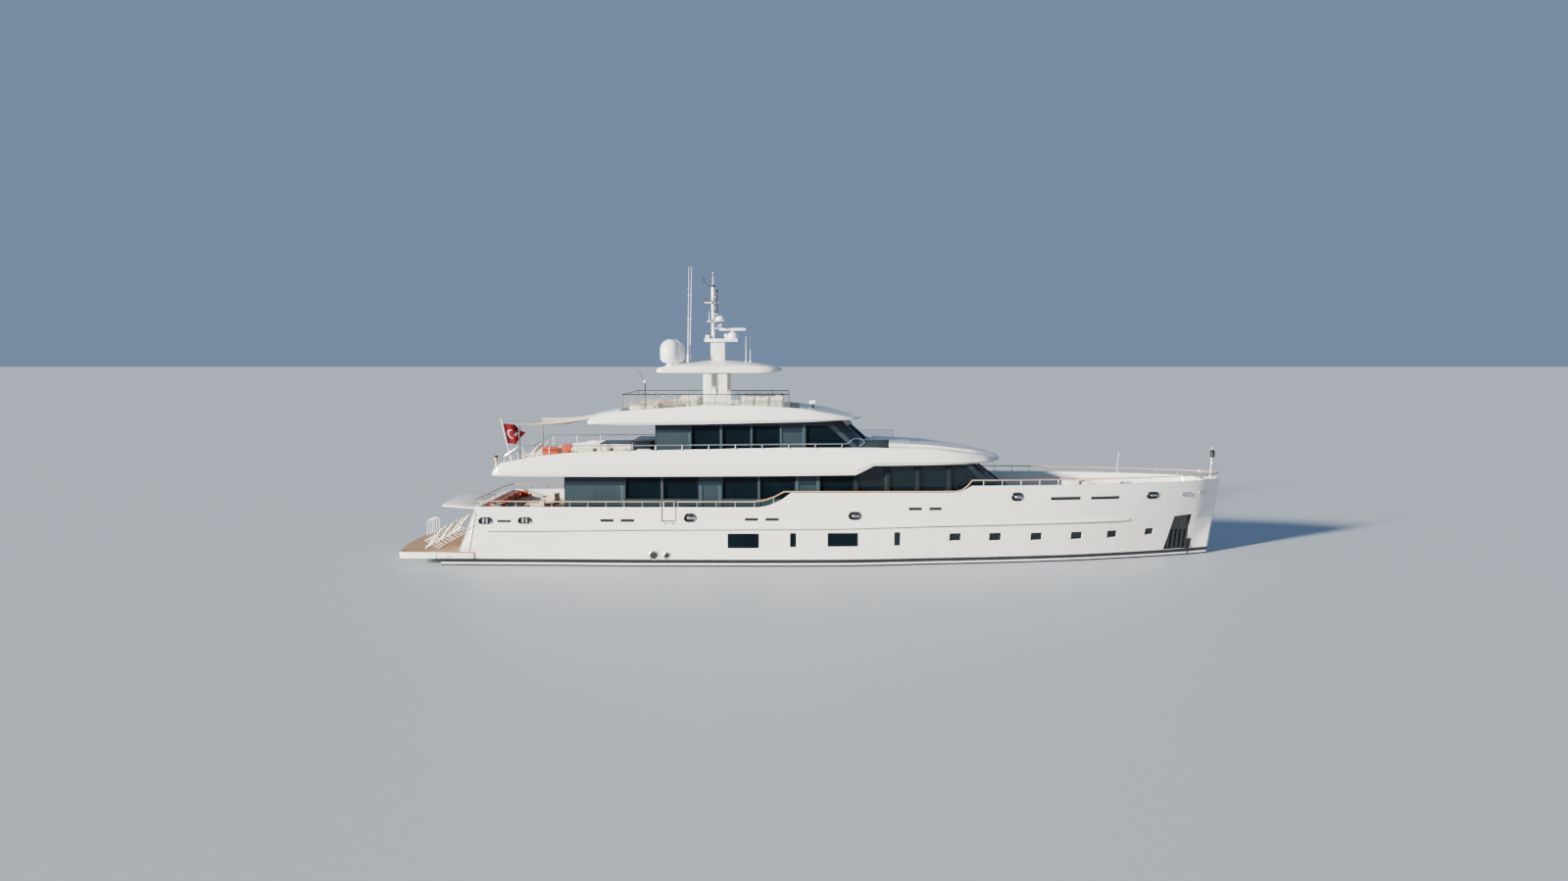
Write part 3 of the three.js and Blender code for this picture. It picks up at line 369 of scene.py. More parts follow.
def mixColour(tree, share, first, second):
    made = node(tree, "ShaderNodeMix", data_type="RGBA")
    for title, value in (("Factor", share), ("A", first), ("B", second)):
        feed(tree, made.inputs[title], value)
    return made.outputs["Result"]


def noise(tree, place, scale, detail=3.0, stretch=None, roughness=0.55):
    if stretch:
        mapping = node(tree, "ShaderNodeMapping", in_Scale=stretch)
        tree.links.new(place, mapping.inputs["Vector"])
        place = mapping.outputs["Vector"]
    made = node(tree, "ShaderNodeTexNoise", in_Detail=detail, in_Roughness=roughness)
    feed(tree, made.inputs["Scale"], scale)
    tree.links.new(place, made.inputs["Vector"])
    return made.outputs["Fac"]


def ranged(tree, value, low, high, toLow=0.0, toHigh=1.0):
    made = node(tree, "ShaderNodeMapRange", in_From_Min=low, in_From_Max=high, in_To_Min=toLow,
                in_To_Max=toHigh)
    tree.links.new(value, made.inputs["Value"])
    return made.outputs["Result"]


def objectPlace(tree):
    return node(tree, "ShaderNodeTexCoord").outputs["Object"]


# X, Y and Z of a place
def splitPlace(tree, place):
    apart = node(tree, "ShaderNodeSeparateXYZ")
    tree.links.new(place, apart.inputs[0])
    return apart.outputs


# salt runs and slow changes of tone on gloss paint
def makePaintWeather():
    group, given, out = newGroup("paintWeather", {
        "Paint": (0.8, 0.8, 0.8), "Grime": (0.5, 0.45, 0.35), "Amount": 0.2, "Scale": 1.0},
        {"Color": "Color", "Roughness": "Float"})
    place = objectPlace(group)
    runs = noise(group, place, given["Scale"], 5.0, (2.4, 2.4, 0.16), 0.6)
    clouds = noise(group, place, 0.3, 3.0)
    share = mathNode(group, "MULTIPLY", ranged(group, mathNode(group, "MULTIPLY", runs, clouds), 0.2, 0.45),
                     given["Amount"])
    group.links.new(mixColour(group, share, given["Paint"], given["Grime"]), out["Color"])
    group.links.new(ranged(group, clouds, 0.3, 0.7, 0.14, 0.3), out["Roughness"])
    return group


# laid teak: planks along the yacht with dark caulking
def makePlanks():
    group, given, out = newGroup("deckPlanks", {
        "Wood": (0.45, 0.28, 0.15), "Pale wood": (0.6, 0.42, 0.26), "Caulking": (0.02, 0.02, 0.02),
        "Pitch": 0.05},
        {"Color": "Color", "Height": "Float", "Roughness": "Float"})
    place = objectPlace(group)
    at = splitPlace(group, place)
    row = mathNode(group, "DIVIDE", at["Y"], given["Pitch"])
    chance = node(group, "ShaderNodeTexWhiteNoise", noise_dimensions="1D")
    group.links.new(mathNode(group, "FLOOR", row), chance.inputs["W"])
    gap = mathNode(group, "LESS_THAN", mathNode(group, "FRACT", row), 0.11)
    along = mathNode(group, "ADD", mathNode(group, "MULTIPLY", at["X"], 0.9),
                     mathNode(group, "MULTIPLY", chance.outputs["Value"], 5.0))
    butt = mathNode(group, "LESS_THAN", mathNode(group, "FRACT", along), 0.006)
    seam = mathNode(group, "MAXIMUM", gap, butt)
    grain = noise(group, place, 14.0, 6.0, (0.5, 9.0, 9.0), 0.65)
    tone = mathNode(group, "ADD", mathNode(group, "MULTIPLY", chance.outputs["Value"], 0.55),
                    mathNode(group, "MULTIPLY", grain, 0.55))
    planks = mixColour(group, tone, given["Wood"], given["Pale wood"])
    group.links.new(mixColour(group, seam, planks, given["Caulking"]), out["Color"])
    group.links.new(mathNode(group, "SUBTRACT", mathNode(group, "MULTIPLY", grain, 0.3), seam),
                    out["Height"])
    group.links.new(ranged(group, grain, 0.3, 0.7, 0.5, 0.75), out["Roughness"])
    return group


# varnished or bare wood with its grain along X
def makeGrain():
    group, given, out = newGroup("woodGrain", {
        "Wood": (0.45, 0.28, 0.15), "Pale wood": (0.6, 0.42, 0.26), "Scale": 6.0},
        {"Color": "Color", "Roughness": "Float"})
    place = objectPlace(group)
    grain = noise(group, place, given["Scale"], 6.0, (0.4, 6.0, 6.0), 0.65)
    group.links.new(mixColour(group, ranged(group, grain, 0.3, 0.7), given["Wood"], given["Pale wood"]),
                    out["Color"])
    group.links.new(ranged(group, grain, 0.3, 0.7, 0.25, 0.5), out["Roughness"])
    return group


# crossed threads with a slow change of tone from sun and use
def makeWeave():
    group, given, out = newGroup("clothWeave", {
        "Cloth": (0.6, 0.5, 0.38), "Shadow cloth": (0.45, 0.37, 0.27), "Threads": 500.0},
        {"Color": "Color", "Height": "Float"})
    place = objectPlace(group)
    at = splitPlace(group, place)
    threads = []
    for way in ("X", "Y"):
        line = mathNode(group, "ADD", at[way], mathNode(group, "MULTIPLY", at["Z"], 0.7))
        threads.append(mathNode(group, "SINE", mathNode(group, "MULTIPLY", line, given["Threads"])))
    cross = mathNode(group, "MULTIPLY", *threads)
    clouds = noise(group, place, 5.0, 5.0)
    share = mathNode(group, "ADD", ranged(group, cross, -1.0, 1.0, 0.0, 0.3),
                     ranged(group, clouds, 0.35, 0.7, 0, 0.7))
    group.links.new(mixColour(group, share, given["Cloth"], given["Shadow cloth"]), out["Color"])
    group.links.new(cross, out["Height"])
    return group


# fine polishing marks and dull patches
def makeMetal():
    group, given, out = newGroup("polishedMetal", {
        "Metal": (0.7, 0.7, 0.7), "Dull metal": (0.5, 0.5, 0.5), "Scale": 20.0},
        {"Color": "Color", "Roughness": "Float"})
    place = objectPlace(group)
    patches = noise(group, place, given["Scale"], 4.0)
    marks = noise(group, place, 60.0, 2.0, (0.3, 4.0, 4.0))
    group.links.new(mixColour(group, ranged(group, patches, 0.4, 0.7), given["Metal"], given["Dull metal"]),
                    out["Color"])
    group.links.new(ranged(group, mathNode(group, "MULTIPLY", patches, marks), 0.1, 0.45, 0.1, 0.38),
                    out["Roughness"])
    return group


paintWeather = makePaintWeather()
deckPlanks = makePlanks()
woodGrain = makeGrain()
clothWeave = makeWeave()
polishedMetal = makeMetal()


def material(name, colour, roughness, metallic=0.0, **sockets):
    made = bpy.data.materials.new(name)
    made.use_nodes = True
    made.diffuse_color = (*colour, 1)
    shader = made.node_tree.nodes["Principled BSDF"]
    shader.inputs["Base Color"].default_value = (*colour, 1)
    shader.inputs["Roughness"].default_value = roughness
    shader.inputs["Metallic"].default_value = metallic
    for title, value in sockets.items():
        shader.inputs[title.replace("_", " ")].default_value = value
    return made, made.node_tree, shader


# adds a node group, sets its values and feeds the shader with all that it gives
def effect(tree, group, shader, values, bump=0.0):
    made = node(tree, "ShaderNodeGroup", node_tree=group)
    for title, value in values.items():
        feed(tree, made.inputs[title], value)
    tree.links.new(made.outputs["Color"], shader.inputs["Base Color"])
    if "Roughness" in made.outputs:
        tree.links.new(made.outputs["Roughness"], shader.inputs["Roughness"])
    if "Height" in made.outputs and bump:
        relief = node(tree, "ShaderNodeBump", in_Strength=bump, in_Distance=0.002)
        tree.links.new(made.outputs["Height"], relief.inputs["Height"])
        tree.links.new(relief.outputs["Normal"], shader.inputs["Normal"])
    return made


def paint(name, colour, grime, amount, scale=1.0, coat=0.4):
    made, tree, shader = material(name, colour, 0.25, Coat_Weight=coat, Coat_Roughness=0.06)
    effect(tree, paintWeather, shader, {"Paint": colour, "Grime": grime, "Amount": amount, "Scale": scale})
    return made


hullBands = {"white": (0.83, 0.82, 0.775), "grime": (0.5, 0.46, 0.36), "bootTop": (0.008, 0.009, 0.012),
             "bottom": (0.016, 0.022, 0.05), "stripFrom": 0.1, "bootFrom": 0.19, "bootTo": 0.4}


# white topsides over a black boot-top, a white strip and dark bottom paint
def hullPaint():
    white = hullBands["white"]
    made, tree, shader = material("hullPaint", white, 0.25, Coat_Weight=0.5, Coat_Roughness=0.05)
    weather = effect(tree, paintWeather, shader,
                     {"Paint": white, "Grime": hullBands["grime"], "Amount": 0.16})
    height = splitPlace(tree, objectPlace(tree))["Z"]
    above = [mathNode(tree, "GREATER_THAN", height, hullBands[key] * modelScale)
             for key in ("stripFrom", "bootFrom", "bootTo")]
    boot = mathNode(tree, "SUBTRACT", above[1], above[2])
    sides = mixColour(tree, boot, weather.outputs["Color"], hullBands["bootTop"])
    tree.links.new(mixColour(tree, above[0], hullBands["bottom"], sides), shader.inputs["Base Color"])
    rough = mathNode(tree, "MAXIMUM", weather.outputs["Roughness"],
                     mathNode(tree, "SUBTRACT", 0.7, above[0]))
    tree.links.new(rough, shader.inputs["Roughness"])
    return made


# painted shadow bands under the decks' overhangs: low and high of each
walls = {"slate": (0.02, 0.034, 0.044), "grime": (0.035, 0.055, 0.066), "overhangShadow": (0.008, 0.016, 0.024),
         "overhangShadowBands": [(4.36, 5.3), (7.26, 8.2)]}


# slate panels with a darker band under each deck: painted shadow of the deck's overhang
def wallPaint():
    made, tree, shader = material("slatePaint", walls["slate"], 0.35, Coat_Weight=0.2, Coat_Roughness=0.05,
                                  Specular_IOR_Level=0.3)
    weather = effect(tree, paintWeather, shader,
                     {"Paint": walls["slate"], "Grime": walls["grime"], "Amount": 0.5})
    height = splitPlace(tree, objectPlace(tree))["Z"]
    overhangShadowBands = []
    for low, high in walls["overhangShadowBands"]:
        over = mathNode(tree, "GREATER_THAN", height, low * modelScale)
        under = mathNode(tree, "LESS_THAN", height, high * modelScale)
        overhangShadowBands.append(mathNode(tree, "MULTIPLY", over, under))
    # the darker bands are painted shadow under the overhangs
    overhangShadow = mathNode(tree, "ADD", *overhangShadowBands)
    tree.links.new(mixColour(tree, overhangShadow, weather.outputs["Color"], walls["overhangShadow"]),
                   shader.inputs["Base Color"])
    return made


def teakDeck():
    made, tree, shader = material("teakDeck", (0.4, 0.26, 0.16), 0.6)
    effect(tree, deckPlanks, shader, {"Wood": (0.28, 0.16, 0.075), "Pale wood": (0.44, 0.27, 0.14),
                                      "Caulking": (0.03, 0.024, 0.02), "Pitch": 0.06 * modelScale}, 0.35)
    return made


def wood(name, dark, pale, coat):
    made, tree, shader = material(name, dark, 0.4, Coat_Weight=coat, Coat_Roughness=0.1)
    effect(tree, woodGrain, shader, {"Wood": dark, "Pale wood": pale})
    return made


def cloth(name, colour, shade, threads=700.0):
    made, tree, shader = material(name, colour, 0.85, Sheen_Weight=0.25, Sheen_Roughness=0.5)
    effect(tree, clothWeave, shader, {"Cloth": colour, "Shadow cloth": shade, "Threads": threads}, 0.4)
    return made


def metal(name, colour, dull, scale=20.0):
    made, tree, shader = material(name, colour, 0.2, 1.0)
    effect(tree, polishedMetal, shader, {"Metal": colour, "Dull metal": dull, "Scale": scale})
    return made


def glass(name, colour, alpha, coat=1.0, shine=0.5, pale=(0.03, 0.06, 0.065)):
    made, tree, shader = material(name, colour, 0.03, IOR=1.5, Alpha=alpha, Coat_Weight=coat,
                                  Coat_Roughness=0.02,
                                  Specular_IOR_Level=shine)
    # pale cloudy patches mixed into the glass colour: painted reflection
    clouds = noise(tree, objectPlace(tree), 1.6, 3.0)
    tree.links.new(mixColour(tree, ranged(tree, clouds, 0.35, 0.65, 0, 0.35), colour, pale),
                   shader.inputs["Base Color"])
    return made, tree, shader


forwardGlassFrom = 3.95  # x of the first pane that shows more sky


# dark house windows, with more sky in the panes ahead
def houseGlass():
    made, tree, shader = glass("tintedGlass", (0.001, 0.004, 0.007), 0.94, 0.1, 0.12, (0.004, 0.012, 0.016))
    ahead = mathNode(tree, "GREATER_THAN", splitPlace(tree, objectPlace(tree))["X"],
                     forwardGlassFrom * modelScale)
    tree.links.new(ranged(tree, ahead, 0, 1, 0.06, 0.9), shader.inputs["Coat Weight"])
    return made


white = hullBands["white"]
# finish: its material and the record's slot
finishes = {
    "hull": (hullPaint(), "hull_white"),
    "gelcoat": (paint("superstructureWhite", white, (0.5, 0.47, 0.38), 0.12), "deck_white"),
    "mastPaint": (paint("mastPaint", (0.84, 0.84, 0.82), (0.4, 0.4, 0.38), 0.2, 4.0), "mast_white"),
    # blue-grey: painted shade and sky reflection of a roof top
    "roofShadeBlue": (paint("roofShadePaint", (0.36, 0.45, 0.54), (0.28, 0.34, 0.4), 0.3, 6.0), "mast_white"),
    "dome": (paint("domePlastic", (0.85, 0.86, 0.86), (0.6, 0.6, 0.58), 0.15, 3.0, 0.2), "dome_white"),
    "wall": (wallPaint(), "house_wall"),
    "mullion": (paint("mullionGrey", (0.032, 0.054, 0.07), (0.05, 0.075, 0.09), 0.4, coat=0.1),
                "house_wall"),
    "black": (paint("blackTrim", (0.012, 0.013, 0.015), (0.04, 0.04, 0.04), 0.3), "house_wall"),
    "rubber": (paint("darkRubber", (0.02, 0.02, 0.022), (0.05, 0.05, 0.05), 0.4, 3.0, 0.0), "engine_grey"),
    "glass": (houseGlass(), "dark_glass"),
    "clearGlass": (glass("clearGlass", (0.3, 0.38, 0.4), 0.12, 0.6)[0], "rail_glass"),
    # a near-black pane: painted shade of the well behind the helm's near wing
    "wellShadeGlass": (glass("wellShadeGlass", (0.008, 0.012, 0.016), 0.96, 0.15)[0], "rail_glass"),
    "lampGlass": (paint("lampGlass", (0.09, 0.025, 0.018), (0.08, 0.05, 0.04), 0.4, 3.0), "mast_white"),
    "amber": (paint("amberGlass", (0.75, 0.36, 0.08), (0.4, 0.2, 0.06), 0.3, 3.0), "mast_white"),
    "teak": (teakDeck(), "teak"),
    "rail": (wood("railTeak", (0.38, 0.22, 0.12), (0.54, 0.35, 0.21), 0.5), "teak"),
    # dark steel; on the fairlead rims and the anchor pocket its darkness is a painted reflection of the dark
    # sea
    "darkSteelAndSeaReflection": (metal("darkSteelAndSeaReflection", (0.09, 0.09, 0.095), (0.16, 0.15, 0.14)), "stainless"),
    "darkMullion": (paint("darkMullion", (0.008, 0.012, 0.016), (0.02, 0.03, 0.035), 0.4, coat=0.1),
                    "house_wall"),
    "steel": (metal("polishedSteel", (0.78, 0.79, 0.8), (0.5, 0.52, 0.55)), "stainless"),
    "bronze": (metal("castBronze", (0.55, 0.36, 0.13), (0.3, 0.23, 0.12), 9.0), "bronze"),
    "bottomPaint": (paint("bottomPaint", (0.016, 0.022, 0.05), (0.05, 0.06, 0.07), 0.5, 2.0, 0.0),
                    "antifouling"),
    "engine": (paint("enginePaint", (0.2, 0.21, 0.22), (0.08, 0.07, 0.06), 0.5, 3.0), "engine_grey"),
    "canvas": (cloth("awningCanvas", (0.72, 0.58, 0.42), (0.62, 0.48, 0.33)), "beige_canvas"),
    "beige": (cloth("beigeFabric", (0.62, 0.54, 0.42), (0.5, 0.42, 0.31)), "beige_cushion"),
    "sand": (cloth("sandFabric", (0.7, 0.66, 0.58), (0.6, 0.54, 0.45)), "beige_cushion"),
    "sling": (cloth("slingFabric", (0.78, 0.76, 0.68), (0.66, 0.63, 0.54), 500.0), "beige_cushion"),
    "taupe": (cloth("taupeFabric", (0.2, 0.17, 0.14), (0.12, 0.1, 0.085)), "beige_cushion"),
    "orange": (cloth("orangeFabric", (0.42, 0.045, 0.005), (0.3, 0.03, 0.004)), "orange_cushion"),
    "lightWood": (wood("tableTeak", (0.4, 0.24, 0.13), (0.58, 0.38, 0.22), 0.3), "teak"),
}
say("finishes are ready")


# View, floor and light
view = {"place": (0.0, -62.9, 11.594), "pitch": 4.554, "lens": 25.0, "sensor": 36.0}
studio = {"floorSize": 900.0, "floor": (0.4, 0.44, 0.49), "sky": (0.4, 0.6, 0.95), "skyStrength": 0.44,
          "keyStrength": 14.5, "keyColour": (1.0, 0.93, 0.82), "keyTilt": 75, "keyTurn": -54,
          "keySoftness": 5}


def addCamera():
    bpy.ops.object.camera_add(location=scaled(view["place"]),
                              rotation=(math.radians(90 - view["pitch"]), 0, 0))
    camera = bpy.context.object
    camera.data.lens = view["lens"]
    camera.data.sensor_width = view["sensor"]
    camera.data.clip_end = 2000
    bpy.context.scene.camera = camera


def addFloor():
    bpy.ops.mesh.primitive_plane_add(size=studio["floorSize"], location=(0, 0, 0))
    floor = newest("floor")
    floor.data.materials.append(material("floorPale", studio["floor"], 0.55)[0])


def addLights():
    world = bpy.data.worlds.new("studio")
    bpy.context.scene.world = world
    world.use_nodes = True
    background = world.node_tree.nodes["Background"]
    background.inputs["Color"].default_value = (*studio["sky"], 1)
    background.inputs["Strength"].default_value = studio["skyStrength"]
    turn = (math.radians(studio["keyTilt"]), 0, math.radians(studio["keyTurn"]))
    bpy.ops.object.light_add(type="SUN", rotation=turn)
    key = bpy.context.object.data
    key.energy = studio["keyStrength"]
    key.angle = math.radians(studio["keySoftness"])
    key.color = studio["keyColour"]


# Hull
hullNodes = ("hull", "forepeak", "transom", "bulwark_port", "bulwark_starboard", "foredeck", "main_deck")
# from x, to x, low z, high z on the starboard side
hullLights = {
    "windows": [(-3.08, -1.36, 1.02, 1.84), (2.37, 4.05, 1.10, 1.87)],
    "slits": [(0.32, 0.67, 1.08, 1.87), (6.01, 6.35, 1.13, 1.90)],
    "ports": [(9.06, 9.69, 1.36, 1.80), (11.28, 11.94, 1.33, 1.78), (13.63, 14.26, 1.30, 1.74),
              (15.95, 16.59, 1.29, 1.73), (18.10, 18.67, 1.31, 1.73), (20.42, 20.93, 1.38, 1.76)],
    "corner": 0.05, "frame": 0.045, "frameDepth": 0.05, "recess": 0.07, "portDepth": 0.12,
    "flare": (0.22, 0.12), "glassDepth": 0.02, "glassProud": 0.015, "rim": 0.03, "rimProud": 0.025,
}
# the black plate set back inside each fairlead hole is painted shade
fairleads = {
    "holes": [(-16.68, -15.95, 2.35, 2.68), (-14.5, -13.77, 2.38, 2.69), (-5.44, -4.81, 2.49, 2.92),
              (3.52, 4.16, 2.61, 3.01), (12.44, 13.05, 3.59, 4.02), (20.28, 20.96, 3.53, 3.88)],
    "roundness": 0.48, "back": 0.045, "shadePlateDepth": 0.02, "rim": 0.0375, "roller": 0.055, "lyingRoller": 0.42,
    "chocks": [(22.48, 23.09, 3.56, 3.79), (23.64, 24.18, 3.60, 3.82)], "chockRim": 0.06, "chockPin": 0.05,
}
# the black plate set back inside each freeing slot is painted shade
freeingSlots = {
    "slots": [(-15.66, -14.89, 2.418, 2.562), (-10.0, -9.26, 2.468, 2.632), (-8.9, -8.14, 2.468, 2.632),
             (-2.14, -1.4, 2.528, 2.692), (-1.02, -0.27, 2.528, 2.692), (6.78, 7.52, 3.088, 3.262),
             (7.9, 8.6, 3.088, 3.262), (14.64, 16.35, 3.568, 3.762), (16.95, 18.63, 3.558, 3.742)],
    "corner": 0.045, "back": 0.012, "shadePlateDepth": 0.01,
}
anchorPocket = {"low": (21.6, 0, 0.36), "high": (23.45, 0, 2.56), "inner": 0.8}
# seam is the radius of a black line along the strake's lower edge: painted shadow
strake = {"line": [(-16.21, 2.0), (-8, 2.11), (2.66, 2.16), (8.03, 2.28), (14, 2.33), (19.3, 2.35)],
          "radius": 0.1,
          "seam": 0.024}
seams = {"stern": [(-17.36, 0.3), (-17.12, 1.4), (-16.78, 3.1)], "sternWidth": 0.024, "sternProud": 0.008,
         "gate": (-6.66, -5.86, 2.42, 3.25), "gateCorner": (0.08, 0.1), "gateWidth": 0.012,
         "hinges": (-6.5, -6.1), "hinge": (0.12, 2.36, 2.42)}
outlets = [(-7.1, 0.63, 0.26), (-6.38, 0.62, 0.18)]  # x, z, radius
outletRim = 0.022


# the low and high corner of a CAD piece
def spanOf(nodeName):
    corners = [Vector(corner) / modelScale for corner in frame["nodes"][nodeName].bound_box]
    return [[furthest(corner[i] for corner in corners) for i in range(3)] for furthest in (min, max)]


# a tree that finds where a line meets the CAD surface
def skinOf(*names):
    points, faces = [], []
    for name in names:
        mesh = frame["nodes"][name].data
        first = len(points)
        points += [vertex.co.copy() for vertex in mesh.vertices]
        faces += [[first + index for index in face.vertices] for face in mesh.polygons]
    return BVHTree.FromPolygons(points, faces)


hullSkin = skinOf(*hullNodes)


# the point of the starboard side at x and z
def onHull(x, z, out=0.0):
    place = hullSkin.ray_cast(Vector(scaled((x, -8, z))), Vector((0, 1, 0)))[0]
    return (x, place.y / modelScale - out, z)


# a rounded panel that lies on the starboard side, with its face outwards
def hullPatch(name, low, high, corner):
    (x0, z0), (x1, z1) = low, high
    bpy.ops.object.select_all(action="DESELECT")
    bpy.ops.mesh.primitive_plane_add(size=1, location=scaled(((x0 + x1) / 2, 0, (z0 + z1) / 2)),
                                     rotation=(math.radians(90), 0, 0))
    patch = newest(name)
    patch.scale = (*scaled((x1 - x0, z1 - z0)), 1)
    applyAll(patch)
    if corner:
        editAll(patch)
        bpy.ops.mesh.bevel(offset=corner * modelScale, segments=4, affect="VERTICES")
        leaveEdit()
    for vertex in patch.data.vertices:
        x, _, z = (value / modelScale for value in vertex.co)
        vertex.co.y = onHull(x, z)[1] * modelScale
    return patch


def moved(piece, shift):
    editAll(piece)
    bpy.ops.transform.translate(value=scaled(shift))
    leaveEdit()
    return piece


def thickened(piece, thickness):
    modify(piece, "SOLIDIFY", thickness=thickness * modelScale, offset=0)
    return piece


def panelOnHull(name, span, corner, inwards, thickness):
    x0, x1, z0, z1 = span
    return thickened(moved(hullPatch(name, (x0, z0), (x1, z1), corner), (0, inwards, 0)), thickness)


def ringOnHull(name, span, corner, width, thickness, proud):
    x0, x1, z0, z1 = span
    ring = hullPatch(name, (x0, z0), (x1, z1), corner)
    editAll(ring)
    bpy.ops.mesh.inset(thickness=width * modelScale)
    bpy.ops.mesh.delete(type="FACE")
    leaveEdit()
    moved(ring, (0, -proud, 0))
    return thickened(ring, thickness)


# joins starboard pieces and adds their port copies
def bothWays(pieces, name):
    starboard = merged(name, pieces)
    return merged(name, [starboard, copied(starboard, name + "Port", mirror=True)])


# half breadth of the sides on a grid, read across the anchor pocket, so that the shading runs fair
sideGrid = {"from": -16.4, "low": 0.3, "step": (0.25, 0.4), "count": (165, 11), "bowFrom": 21.8}


# puts what a row lacks on the line through its neighbours
def fillGaps(row):
    good = [j for j, half in enumerate(row) if half is not None]
    for j, half in enumerate(row):
        if half is not None or not good:
            continue
        under = [k for k in good if k < j]
        over = [k for k in good if k > j]
        if under and over:
            a, b = under[-1], over[0]
        elif over:
            a, b = good[0], good[min(1, len(good) - 1)]
        else:
            a, b = good[max(0, len(good) - 2)], good[-1]
        row[j] = row[a] if a == b else row[a] + (row[b] - row[a]) * (j - a) / (b - a)


def readSides():
    rows = []
    for i in range(sideGrid["count"][0]):
        x = sideGrid["from"] + i * sideGrid["step"][0]
        overPocket = anchorPocket["low"][0] < x < anchorPocket["high"][0]
        row = []
        for j in range(sideGrid["count"][1]):
            z = sideGrid["low"] + j * sideGrid["step"][1]
            hit = hullSkin.ray_cast(Vector(scaled((x, -8, z))), Vector((0, 1, 0)))[0]
            inPocket = overPocket and z < anchorPocket["high"][2]
            row.append(-hit.y / modelScale if hit and not inPocket else None)
        fillGaps(row)
        rows.append(row)
    return rows


# the half breadth between the points of the grid
def halfAt(rows, x, z):
    (stepX, stepZ), (countX, countZ) = sideGrid["step"], sideGrid["count"]
    u = min(max((x - sideGrid["from"]) / stepX, 0), countX - 1.001)
    v = min(max((z - sideGrid["low"]) / stepZ, 0), countZ - 1.001)
    i, j = int(u), int(v)
    u, v = u - i, v - j
    corners = rows[i][j], rows[i + 1][j], rows[i][j + 1], rows[i + 1][j + 1]
    if None in corners:
        return None
    return (corners[0] * (1 - u) + corners[1] * u) * (1 - v) + (corners[2] * (1 - u) + corners[3] * u) * v


# reach: how far round a point the side is read; sideways: how much a face has to look sideways;
# off: how far from the read side its points may lie
fairing = {"ends": (-16.2, 24.4), "foot": 0.25, "up": 0.6,
           "amidships": {"reach": 1.0, "sideways": 0.5, "off": 0.05},
           "bow": {"reach": 0.3, "sideways": 0.2, "off": 0.12}}


def fairSides(shell):
    rows = readSides()
    mesh = shell.data
    normals = [corner.vector.copy() for corner in mesh.corner_normals]
    start, end = fairing["ends"]
    for face in mesh.polygons:
        x, y, z = face.center / modelScale
        given = fairing["bow" if x > sideGrid["bowFrom"] else "amidships"]
        if abs(face.normal.y) < given["sideways"] or z < fairing["foot"] or not start < x < end:
            continue
        reach, up = given["reach"], fairing["up"]
        for loop in face.loop_indices:
            x, y, z = mesh.vertices[mesh.loops[loop].vertex_index].co / modelScale
            places = ((x + reach, z), (x - reach, z), (x, z + up), (x, z - up), (x, z))
            ahead, behind, above, below, here = (halfAt(rows, *place) for place in places)
            lost = None in (ahead, behind, above, below, here)
            if lost or abs(abs(y) - here) > given["off"] or y * face.normal.y < 0:
                continue
            slope = Vector(((behind - ahead) / (2 * reach), 1, (below - above) / (2 * up))).normalized()
            normals[loop] = Vector((slope.x, slope.y * (1 if y > 0 else -1), slope.z))
    mesh.normals_split_custom_set([tuple(normal) for normal in normals])


def inAnchorPocket(face):
    low, high = anchorPocket["low"], anchorPocket["high"]
    if not all(low[i] < face.center[i] / modelScale < high[i] for i in (0, 2)):
        return False
    return abs(face.normal.y) < 0.6 or abs(face.center.y) / modelScale < anchorPocket["inner"]


def holeCorner(span):
    return (span[3] - span[2]) * fairleads["roundness"]


# a port's cut, whose forward and lower sides flare outwards
def portCut(span):
    cut = panelOnHull("cut", span, hullLights["corner"], 0, 2 * hullLights["portDepth"])
    for vertex in cut.data.vertices:
        x, y, z = vertex.co / modelScale
        if y < onHull(x, z)[1]:
            x += hullLights["flare"][0] if x > (span[0] + span[1]) / 2 else 0
            z -= hullLights["flare"][1] if z < (span[2] + span[3]) / 2 else 0
            vertex.co = scaled((x, y, z))
    return cut


def makeHull():
    shell = fromNodes("hullShell", *hullNodes)
    spans = [(span, hullLights["corner"]) for key in ("windows", "slits") for span in hullLights[key]]
    spans += [(span, holeCorner(span)) for span in fairleads["holes"]]
    spans += [(span, freeingSlots["corner"]) for span in freeingSlots["slots"]]
    cuts = [panelOnHull("cut", span, corner, 0, 2 * hullLights["recess"]) for span, corner in spans]
    cuts += [portCut(span) for span in hullLights["ports"]]
    cutter = bothWays(cuts, "cutter")
    modify(shell, "BOOLEAN", operation="DIFFERENCE", object=cutter, solver="EXACT")
    discard(cutter)
    mergeDoubles(shell)
    dress(shell, "hull", angle=28)
    # the faces inside the anchor pocket are black: painted shade of the recess
    addFinish(shell, "black", inAnchorPocket)
    modify(shell, "WEIGHTED_NORMAL", keep_sharp=True)
    fairSides(shell)
    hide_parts(*hullNodes)
    makeHullGlass()
    say("hull with its windows and slots")


